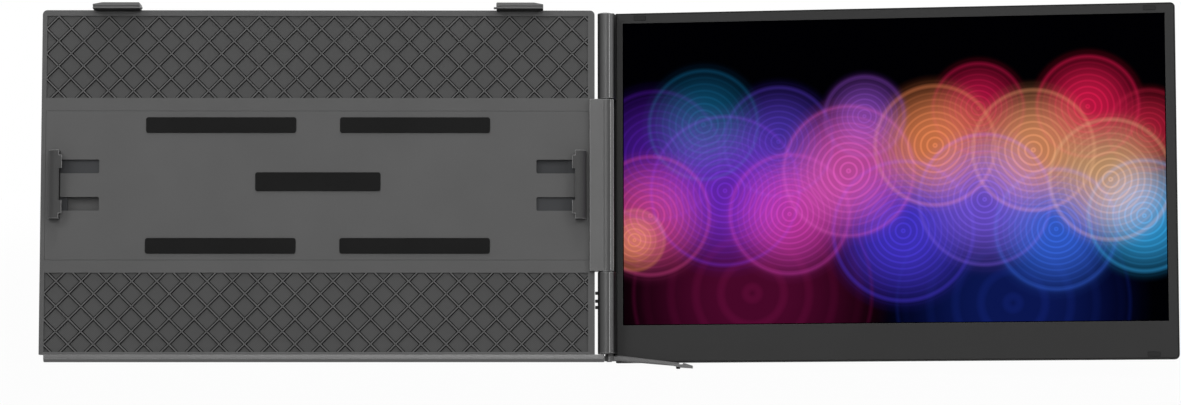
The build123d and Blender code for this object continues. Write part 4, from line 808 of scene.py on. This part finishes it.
@dataclass
class Fastener:
    """A screw or rivet with its head at the back and its shank running forward."""

    head: float                    # radius of the head
    rise: float                    # height of the head
    shank: float                   # radius of the shank
    length: float                  # length of the shank
    drive: float = 0.0             # corner radius of the six-sided socket, or 0 for none
    deep: float = 0.0              # depth of the socket
    rim: float = 0.15              # bevel round the head
    bottom: float = 0.1            # cone at the bottom of the socket
    draft: float = 0.94            # the socket's size at its bottom, as a share
    middle: float = 0.3            # radius of the innermost ring, as a share
    dent: float = 0.12             # depth of the dent in a rivet's head
    point: float = 0.6             # radius of the shank's end, as a share
    point_length: float = 0.4      # length of the taper there, in radii
    count: int = 24                # points in a ring

    def mesh(self) -> Object:
        """Build the fastener in millimetres, with the face of its head at w = 0.

        Returns:
            An object that is in no scene.
        """
        form = Form(PLATE)
        if self.drive:
            rings = [ring(self.drive * self.middle, self.deep + self.bottom, self.count),
                     ring(self.drive * self.draft, self.deep, self.count, sides=6),
                     ring(self.drive, 0.0, self.count, sides=6)]
        else:
            rings = [ring(self.head * self.middle, self.dent, self.count)]
        end = self.rise + self.length
        rings += [ring(self.head - self.rim, 0.0, self.count),
                  ring(self.head, self.rim, self.count),
                  ring(self.head, self.rise, self.count),
                  ring(self.shank, self.rise, self.count),
                  ring(self.shank, end - self.shank * self.point_length, self.count),
                  ring(self.shank * self.point, end, self.count)]
        form.loft(rings)
        mesh = bpy.data.meshes.new("fastener")
        form.shape.to_mesh(mesh)
        form.shape.free()
        return bpy.data.objects.new("fastener", mesh)

    def tree(self) -> NodeTree:
        """Build the rule that puts the fastener on every point, each turned by chance.

        Returns:
            The node tree.
        """
        tree, value = new_tree("set_fasteners", (
            ("Geometry", "Geometry"), ("Fastener", "Object"), ("Level", "Float"),
            ("Seed", "Int"), ("Finish", "Material")))
        add = partial(add_node, tree)
        one = add("GeometryNodeObjectInfo", {"Object": value["Fastener"], "As Instance": True})
        chance = add("FunctionNodeRandomValue", {
            2: 0.0, 3: math.tau, "Seed": value["Seed"]}, data_type="FLOAT")
        turn = add("ShaderNodeCombineXYZ", {2: chance.outputs[1]})
        raised = add("ShaderNodeCombineXYZ", {2: value["Level"]})
        points = add("GeometryNodeSetPosition", {"Geometry": value["Geometry"], "Offset": raised})
        laid = add("GeometryNodeInstanceOnPoints", {
            "Points": points, "Instance": one.outputs["Geometry"], "Rotation": turn})
        real = add("GeometryNodeRealizeInstances", {0: laid})
        done = add("GeometryNodeSetMaterial", {"Geometry": real, "Material": value["Finish"]})
        add("NodeGroupOutput", {0: done})
        return tree

    def piece(self, name: str, axes: Axes, places: Iterable[tuple[float, float]], level: float,
              finish: Finish, seed: int) -> Object:
        """Set the fastener at every place.

        Args:
            name: Name of the piece.
            axes: Axes that the places are given in.
            places: x and v of each fastener.
            level: w of the head's outer face.
            finish: The finish.
            seed: Seed of the heads' turns.

        Returns:
            The piece.
        """
        base = bpy.data.meshes.new(name)
        base.from_pydata([(x, v, 0.0) for x, v in places], [], [])
        one = self.mesh()
        made = modelled(name, self.tree(), {
            "Fastener": one, "Level": level, "Seed": seed, "Finish": finish.material()},
            axes, base)
        bpy.data.objects.remove(one)
        return made


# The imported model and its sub-assemblies


class Model:
    """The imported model: which body and which material slot each node has."""

    def __init__(self) -> None:
        """Load the frame and note its nodes."""
        self.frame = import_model()
        bodies = self.frame["record"]["behaviour"]["bodies"]
        self.body = {node: name for name, nodes in bodies.items() for node in nodes}
        self.slot = {n: o.data.materials[0].name for n, o in self.frame["nodes"].items()}

    def seat(self, made: Object, *nodes: str) -> None:
        """Let a piece stand for nodes and move with their body.

        Args:
            made: The finished piece.
            nodes: The nodes that it replaces.
        """
        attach(made, self.body[nodes[0]])
        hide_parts(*nodes)
        LOG.info("%s: %d faces, stands for %s", made.name, len(made.data.polygons), nodes)

    def soften(self, name: str, node: str, axes: Axes, finish: Finish, radius: float,
               steps: int = 2) -> None:
        """Replace a node by a copy whose outer edges are rounded.

        Args:
            name: Name of the piece.
            node: The node that it stands for.
            axes: Axes of the sub-assembly.
            finish: Its finish.
            radius: How far the rounding reaches.
            steps: Faces across the rounding.
        """
        form = Form.copied(axes, node)
        form.round_edges(radius, steps)
        self.seat(form.piece(name, finish), node)

    def paint(self, finish: Finish, *nodes: str) -> None:
        """Give nodes that stay as they are their finish.

        Args:
            finish: The finish.
            nodes: The nodes.
        """
        for node in nodes:
            for slot in self.frame["nodes"][node].material_slots:
                slot.material = finish.material()
            LOG.info("%s: %s", node, finish.name)


class Side(Enum):
    """Which side of the plate a part stands on."""

    LEFT = "left"
    RIGHT = "right"


@dataclass
class ClampPlate:
    """The plate behind the lid: covers, sunk lattice panels, pads, screws and clamp drive."""

    corner: float = 3.0            # radius of the upper corners
    square: float = 0.05           # and of the lower ones
    window_corner: float = 0.1     # corners of the clamp window and sunk panels
    clear: float = 1.0             # how far a cutter stands out
    round_over: float = 0.35
    cover_edge: float = 0.25       # rounding of the covers and pads
    left_edge: float = 3.0         # sunk panels from the edges
    right_edge: float = 4.3
    top_edge: float = 3.7
    low_edge: float = 1.6
    band_gap: float = 0.9          # sunk panels from the knuckle's ends
    sunk: float = 1.15             # depth of the panels
    crossing_in: float = 6.5       # a crossing from the right edge
    high_crossing: float = 19.9    # from the upper edge
    low_crossing: float = 30.75    # from the lower edge
    gap: float = 0.15              # round the clamp cover
    shy: float = 0.05              # ribs stay this far below the face
    screw_side: float = 12.0       # outer screws from the side edges
    screw_end: float = 8.0         # and from the upper and lower edge
    screw_columns: int = 5
    bay_screw_in: float = 9.0      # inner screws from the clamp cover's edges
    bay_pitch: float = 100.0       # between them, along x
    screw: Fastener = field(default_factory=lambda: Fastener(2.4, 1.0, 1.25, 5.8, 1.2, 0.5))

    def panels(self) -> list[tuple[Vector, Vector, Vector]]:
        """Place the sunk panels.

        Returns:
            Each panel's lowest corner, highest corner and one crossing of its ribs.
        """
        low, high = PLATE.span("front_cover")
        knuckle_low, knuckle_high = PLATE.span("hinge_knuckle")
        left, right = low.x + self.left_edge, high.x - self.right_edge
        middle = high.x - self.crossing_in
        return [
            (Vector((left, knuckle_high.y + self.band_gap, 0)),
             Vector((right, high.y - self.top_edge, 0)),
             Vector((middle, high.y - self.high_crossing, 0))),
            (Vector((left, low.y + self.low_edge, 0)),
             Vector((right, knuckle_low.y - self.band_gap, 0)),
             Vector((middle, low.y + self.low_crossing, 0)))]

    def front_shell(self) -> Object:
        """Build the front cover: a slab with the clamp window and two sunk panels.

        Returns:
            The piece.
        """
        low, high = PLATE.span("front_cover")
        bay_low, bay_high = PLATE.span("clamp_cover")
        form = Form(PLATE)
        middle = (low.y + high.y) / 2
        above = rounded_corners(low, high, self.corner)
        below = rounded_corners(low, high, self.square)
        outline = [p if p.y > middle else q for p, q in zip(above, below)]
        form.slab(outline, low.z, high.z)
        form.round_edges(self.round_over, steps=3)
        base = form.piece("front_shell", NYLON)
        around = Vector((self.gap, self.gap, 0))
        cuts = [(bay_low - around, bay_high + around, low.z - self.clear)]
        cuts += [(a, b, high.z - self.sunk) for a, b, _ in self.panels()]
        for i, (a, b, bottom) in enumerate(cuts):
            tool = Form(PLATE)
            tool.slab(rounded_corners(a, b, self.window_corner, steps=2), bottom,
                      high.z + self.clear)
            # The panel cutters pass the darker nylon to the walls and floors that they cut: painted
            # shade in the recesses.
            cutter = tool.piece(f"cutter_{i}", NYLON_SUNK_SHADED if i else NYLON)
            cut = base.modifiers.new("cut", "BOOLEAN")
            cut.object = cutter
            cut.solver = "EXACT"
            cut.operation = "DIFFERENCE"
            cut.material_mode = "TRANSFER"
        base.modifiers.remove(base.modifiers["even_light"])
        settle(base)
        for i in range(len(cuts)):
            bpy.data.objects.remove(bpy.data.objects[f"cutter_{i}"])
        shade(base.data)
        base.modifiers.new("even_light", "WEIGHTED_NORMAL").keep_sharp = True
        return base

    def ribs(self) -> list[Object]:
        """Build the crossed ribs of the two sunk panels.

        Returns:
            The two pieces.
        """
        face = PLATE.span("front_cover")[1].z
        made = []
        for name, (low, high, crossing) in zip(("upper_ribs", "lower_ribs"), self.panels()):
            ribs = CrossedRibs(low, high, crossing, face - self.sunk - self.shy, self.sunk)
            # Ribs in nylon painted paler as a highlight, on strips of painted shadow along their
            # feet.
            made.append(ribs.piece(name, NYLON_HIGHLIT, NYLON_SHADOW_STRIP))
        return made

    def rear_screws(self) -> Object:
        """Set the screws that hold the covers, in two patterns, from the back.

        Returns:
            The piece.
        """
        low, high = PLATE.span("rear_cover")
        bay_low, bay_high = PLATE.span("clamp_cover")
        reach = high.x - self.screw_side
        columns = [reach * (2 * i / (self.screw_columns - 1) - 1)
                   for i in range(self.screw_columns)]
        places = [(x, v) for x in columns
                  for v in (low.y + self.screw_end, high.y - self.screw_end)]
        places += [(i * self.bay_pitch, v) for i in (-1, 0, 1)
                   for v in (bay_low.y + self.bay_screw_in, bay_high.y - self.bay_screw_in)]
        return self.screw.piece("cover_screws", PLATE, places, low.z, BLACK_OXIDE, seed=3)

    def dress(self, model: Model) -> None:
        """Build the visible pieces and finish the rest.

        Args:
            model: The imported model.
        """
        model.seat(self.front_shell(), "front_cover")
        for made in self.ribs():
            model.seat(made, "front_cover")
        model.seat(self.rear_screws(), "rear_screws")
        model.soften("rear_shell", "rear_cover", PLATE, NYLON, self.cover_edge)
        model.soften("bay_shell", "clamp_cover", PLATE, NYLON, self.cover_edge)
        model.soften("lower_rail", "bottom_bar", PLATE, LACQUER, self.round_over)
        model.soften("rest_pads", "lid_pads", PLATE, RUBBER, self.cover_edge)
        model.paint(ACETAL, "arm_guides", "hook_guides", "pinion")
        model.paint(BRIGHT_STEEL, "pinion_pin", "drag_washer")


@dataclass
class SideClamp:
    """A jaw that grips the lid's side edge, with its liner, screws and arm."""

    side: Side
    round_over: float = 0.8
    liner_edge: float = 0.2

    def dress(self, model: Model) -> None:
        """Build the jaw and its liner and finish the rest.

        Args:
            model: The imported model.
        """
        side = self.side.value
        model.soften(f"{side}_grip", f"{side}_jaw", PLATE, SOFT_TOUCH, self.round_over, steps=3)
        model.soften(f"{side}_grip_liner", f"{side}_jaw_liner", PLATE, RUBBER, self.liner_edge)
        model.paint(PHOSPHATE, f"{side}_clamp_arm")
        model.paint(BLACK_OXIDE, f"{side}_jaw_screws")


@dataclass
class TopHook:
    """A hook over the lid's top edge, with its pad."""

    side: Side
    round_over: float = 0.3
    pad_edge: float = 0.15

    def dress(self, model: Model) -> None:
        """Build the hook and its pad.

        Args:
            model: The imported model.
        """
        side = self.side.value
        model.soften(f"{side}_top_hook", f"{side}_hook", PLATE, HOOK_PAINT, self.round_over)
        model.soften(f"{side}_top_pad", f"{side}_hook_pad", PLATE, RUBBER, self.pad_edge)


@dataclass
class Hinge:
    """The hinge: knuckle on the plate, barrels on the monitor, and what holds them."""

    round_over: float = 0.3
    leaf_floor: float = -7.2       # w of the leaf's back
    rear: float = -8.8             # w of the rivets' heads
    knuckle_screw: Fastener = field(default_factory=lambda: Fastener(1.9, 0.8, 1.0, 5.7, 0.95, 0.4))
    rivet: Fastener = field(default_factory=lambda: Fastener(1.2, 1.0, 1.15, 2.1))
    knuckle_screw_x: float = 180.55 # the screws of the leaf
    screw_pitch: float = 24.0      # between them, upward
    rivet_in: float = 12.0         # rivets from the plate's edge
    rivet_pitch: float = 18.0      # between them, along x
    rivet_end: float = 8.0         # and from the knuckle's ends

    def dress(self, model: Model) -> None:
        """Build the visible pieces and finish the rest.

        Args:
            model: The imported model.
        """
        model.soften("knuckle", "hinge_knuckle", PLATE, SATIN_ZINC, self.round_over)
        model.soften("barrel_above", "upper_barrel", PANEL, SATIN_ZINC, self.round_over)
        model.soften("barrel_below", "lower_barrel", PANEL, SATIN_ZINC, self.round_over)
        low, high = PLATE.span("hinge_knuckle")
        middle = (low.y + high.y) / 2
        places = [(self.knuckle_screw_x, middle + i * self.screw_pitch) for i in (-1, 0, 1)]
        screws = self.knuckle_screw.piece("leaf_screws", PLATE, places,
                                          self.leaf_floor - self.knuckle_screw.rise,
                                          BLACK_OXIDE, seed=5)
        model.seat(screws, "knuckle_screws")
        edge = PLATE.span("rear_cover")[1].x - self.rivet_in
        places = [(edge - i * self.rivet_pitch, v) for i in (0, 1)
                  for v in (low.y + self.rivet_end, high.y - self.rivet_end)]
        rivets = self.rivet.piece("rivets", PLATE, places, self.rear, BRIGHT_STEEL, seed=7)
        model.seat(rivets, "leaf_rivets")
        model.paint(SATIN_ZINC, "upper_barrel_cap", "lower_barrel_cap")
        model.paint(PHOSPHATE, "hinge_leaf")
        model.paint(BRIGHT_STEEL, "upper_shaft", "lower_shaft")
        model.paint(BRONZE, "friction_sleeves")
        model.paint(GLOSS_ABS, "hinge_washers")


@dataclass
class Monitor:
    """The monitor: case, bezel, lit screen, bumpers and what is inside."""

    round_over: float = 0.35
    bezel_edge: float = 0.2
    bumper_edge: float = 0.12
    screen_corner: float = 0.4
    active_width: float = 344.2    # the lit area
    active_height: float = 193.6
    screw_x: float = 1.5           # the screws of the spine
    screw_apart: float = 1.5       # a longer step in height starts another screw
    screw: Fastener = field(default_factory=lambda: Fastener(1.9, 0.8, 1.0, 10.7, 0.95, 0.4))

    def screen(self) -> Object:
        """Build the display with a UV map that runs from 0 to 1 over its lit area.

        Returns:
            The piece.
        """
        low, high = PANEL.span("screen")
        form = Form(PANEL)
        form.slab(rounded_corners(low, high, self.screen_corner, steps=2), low.z, high.z)
        layer = form.shape.loops.layers.uv.new("screen")
        centre = (low + high) / 2
        for face in form.shape.faces:
            for loop in face.loops:
                offset = loop.vert.co - centre
                loop[layer].uv = (0.5 + offset.x / self.active_width,
                                  0.5 + offset.y / self.active_height)
        return form.piece("display", DISPLAY)

    def spine_screws(self) -> Object:
        """Set the screws of the spine behind the hinge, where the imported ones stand.

        Returns:
            The piece.
        """
        back = PANEL.matrix().inverted()
        heights = sorted({round((back @ v.co).y, 1)
                          for v in bpy.data.objects["spine_screws"].data.vertices})
        groups: list[list[float]] = []
        for v in heights:
            if groups and v - groups[-1][-1] < self.screw_apart:
                groups[-1].append(v)
            else:
                groups.append([v])
        places = [(self.screw_x, (g[0] + g[-1]) / 2) for g in groups]
        level = PANEL.span("spine_screws")[0].z
        return self.screw.piece("spine_fixings", PANEL, places, level, BLACK_OXIDE, seed=9)

    def dress(self, model: Model) -> None:
        """Build the visible pieces and finish the rest.

        Args:
            model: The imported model.
        """
        model.seat(self.screen(), "screen")
        # The near-black back cover: its rim round the bezel is a painted shadow line.
        model.soften("case_back", "back_cover", PANEL, COVER_ABS_SHADED, self.round_over)
        model.soften("case_front", "bezel", PANEL, BEZEL_ABS, self.bezel_edge)
        model.soften("front_bumpers", "bumpers", PANEL, BUMPER, self.bumper_edge)
        model.seat(self.spine_screws(), "spine_screws")
        model.paint(TRAY_WHITE, "backlight")
        model.paint(FOAM, "foam_strips")
        model.paint(SOLDER_MASK, "main_board", "button_board")
        model.paint(BRIGHT_STEEL, "usb_sockets", "hdmi_socket")
        model.paint(POLYIMIDE, "screen_ribbon", "button_ribbon")


@dataclass
class ButtonRow:
    """Three small buttons beside the lower barrel."""

    names: tuple[str, ...] = ("power", "plus", "minus")
    round_over: float = 0.08

    def dress(self, model: Model) -> None:
        """Round the edges of the three buttons."""
        for name in self.names:
            model.soften(f"{name}_key", f"{name}_button", PANEL, GLOSS_ABS, self.round_over)


@dataclass
class SupportLeg:
    """The leg that swings out below the hinge."""

    round_over: float = 0.6

    def dress(self, model: Model) -> None:
        """Build the leg and finish its pin and foot.

        Args:
            model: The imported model.
        """
        model.soften("leg_arm", "support_leg", PANEL, LACQUER, self.round_over)
        model.paint(RUBBER, "leg_foot")
        model.paint(LACQUER, "leg_pin")


# Studio


@dataclass(frozen=True)
class Lamp:
    """A soft box that looks at the object. Its place and size are in metres."""

    name: str
    place: tuple[float, float, float]
    size: float
    watts: float


@dataclass
class Studio:
    """Camera, lamps, white surroundings and a pale floor that keeps the shadow.

    The camera's lens, place and turns were fitted to the corners that the photograph shows.
    Places and distances are in metres, the lens in millimetres and turns in degrees.
    """

    lens: float = 111.548
    camera_at: tuple[float, float, float] = (0.15310, -2.32724, 0.24699)
    tilt: float = 83.6163
    heading: float = -0.5223
    roll: float = 0.0741
    target: tuple[float, float, float] = (0.18, 0.0, 0.0)
    ambient: float = 0.14          # strength of the light from all round
    floor_size: float = 12.0
    floor_paint: str = "#b0b0b0"
    floor_white: float = 0.97      # share of pure white near the object
    floor_near: float = 0.45       # it grows from here
    floor_far: float = 1.1         # to the full share here
    lamps: tuple[Lamp, ...] = (
        Lamp("front", (0.15, -2.9, 1.05), 1.1, 19.0),
        Lamp("left_key", (-1.3, -2.0, 1.7), 0.9, 14.0),
        Lamp("right_key", (1.8, -2.0, 1.7), 0.9, 11.5),
        Lamp("top", (0.2, -0.4, 2.4), 0.9, 17.0),
        Lamp("back", (0.6, 2.4, 1.6), 1.6, 26.0),
    )

    def camera(self) -> None:
        """Stand the camera where the photograph was taken from."""
        data = bpy.data.cameras.new("camera")
        data.lens = self.lens
        made = placed("camera", data)
        turn = (Matrix.Rotation(math.radians(self.heading), 4, "Z")
                @ Matrix.Rotation(math.radians(self.tilt), 4, "X")
                @ Matrix.Rotation(math.radians(self.roll), 4, "Z"))
        made.matrix_world = Matrix.Translation(Vector(self.camera_at)) @ turn
        bpy.context.scene.camera = made

    def light(self) -> None:
        """Hang the soft boxes."""
        for lamp in self.lamps:
            data = bpy.data.lights.new(lamp.name, "AREA")
            data.shape = "SQUARE"
            data.size = lamp.size
            data.energy = lamp.watts
            made = placed(lamp.name, data)
            made.location = lamp.place
            look = Vector(self.target) - Vector(lamp.place)
            made.rotation_euler = look.to_track_quat("-Z", "Y").to_euler()

    def seen(self, tree: NodeTree) -> NodeSocket:
        """Tell rays that show the surroundings from those that light the object.

        Args:
            tree: Node tree that gets the nodes.

        Returns:
            A socket that is 1 from the camera, off metal and through glass, and 0 otherwise.
        """
        path = add_node(tree, "ShaderNodeLightPath")
        first = add_node(tree, "ShaderNodeMath", {
            0: path.outputs["Is Camera Ray"], 1: path.outputs["Is Glossy Ray"]},
            operation="MAXIMUM")
        return add_node(tree, "ShaderNodeMath", {
            0: first, 1: path.outputs["Is Transmission Ray"]},
            operation="MAXIMUM").outputs[0]

    def surroundings(self) -> None:
        """Make the world white where it is seen and a plain grey where it lights."""
        world = bpy.data.worlds.new("surroundings")
        bpy.context.scene.world = world
        world.use_nodes = True
        tree = world.node_tree
        tree.nodes.clear()
        strength = add_node(tree, "ShaderNodeMapRange", {
            "Value": self.seen(tree), 3: self.ambient, 4: 1.0})
        light = add_node(tree, "ShaderNodeBackground", {
            "Color": linear("#ffffff"), "Strength": strength})
        add_node(tree, "ShaderNodeOutputWorld", {0: light})

    def floor(self) -> None:
        """Lay the floor under the leg's foot. Away from the object it turns pure white."""
        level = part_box("leg_foot")[0].z
        half = self.floor_size / 2
        mesh = bpy.data.meshes.new("floor")
        corners = [(-half, -half, level), (half, -half, level), (half, half, level),
                   (-half, half, level)]
        mesh.from_pydata(corners, [], [(0, 1, 2, 3)])
        made = placed("floor", mesh)
        paint = bpy.data.materials.new("pale_floor")
        paint.use_nodes = True
        tree = paint.node_tree
        tree.nodes.clear()
        add = partial(add_node, tree)
        card = add("ShaderNodeBsdfDiffuse", {"Color": linear(self.floor_paint)})
        white = add("ShaderNodeEmission", {"Strength": 1.0})
        here = add("ShaderNodeTexCoord").outputs["Object"]
        away = add("ShaderNodeVectorMath", {
            0: here, 1: (self.target[0], 0.0, level)}, operation="DISTANCE")
        plain = add("ShaderNodeMapRange", {
            "Value": away.outputs["Value"], 1: self.floor_near, 2: self.floor_far,
            3: self.floor_white, 4: 1.0}, interpolation_type="SMOOTHSTEP")
        share = add("ShaderNodeMath", {0: self.seen(tree), 1: plain}, operation="MULTIPLY")
        mixed = add("ShaderNodeMixShader", {0: share, 1: card, 2: white})
        add("ShaderNodeOutputMaterial", {0: mixed})
        mesh.materials.append(paint)

    def build(self) -> None:
        """Set up the whole studio."""
        self.camera()
        self.light()
        self.surroundings()
        self.floor()
        bpy.context.scene.view_settings.view_transform = "Standard"


def main() -> None:
    """Build and dress every sub-assembly."""
    logging.basicConfig(level=logging.INFO, format="%(name)s: %(message)s")
    model = Model()
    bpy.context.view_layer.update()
    Studio().build()
    assemblies = [ClampPlate(), SideClamp(Side.LEFT), SideClamp(Side.RIGHT), TopHook(Side.LEFT),
                  TopHook(Side.RIGHT), Hinge(), Monitor(), ButtonRow(), SupportLeg()]
    for assembly in assemblies:
        LOG.info("%s", type(assembly).__name__)
        assembly.dress(model)


if __name__ == "__main__":
    main()
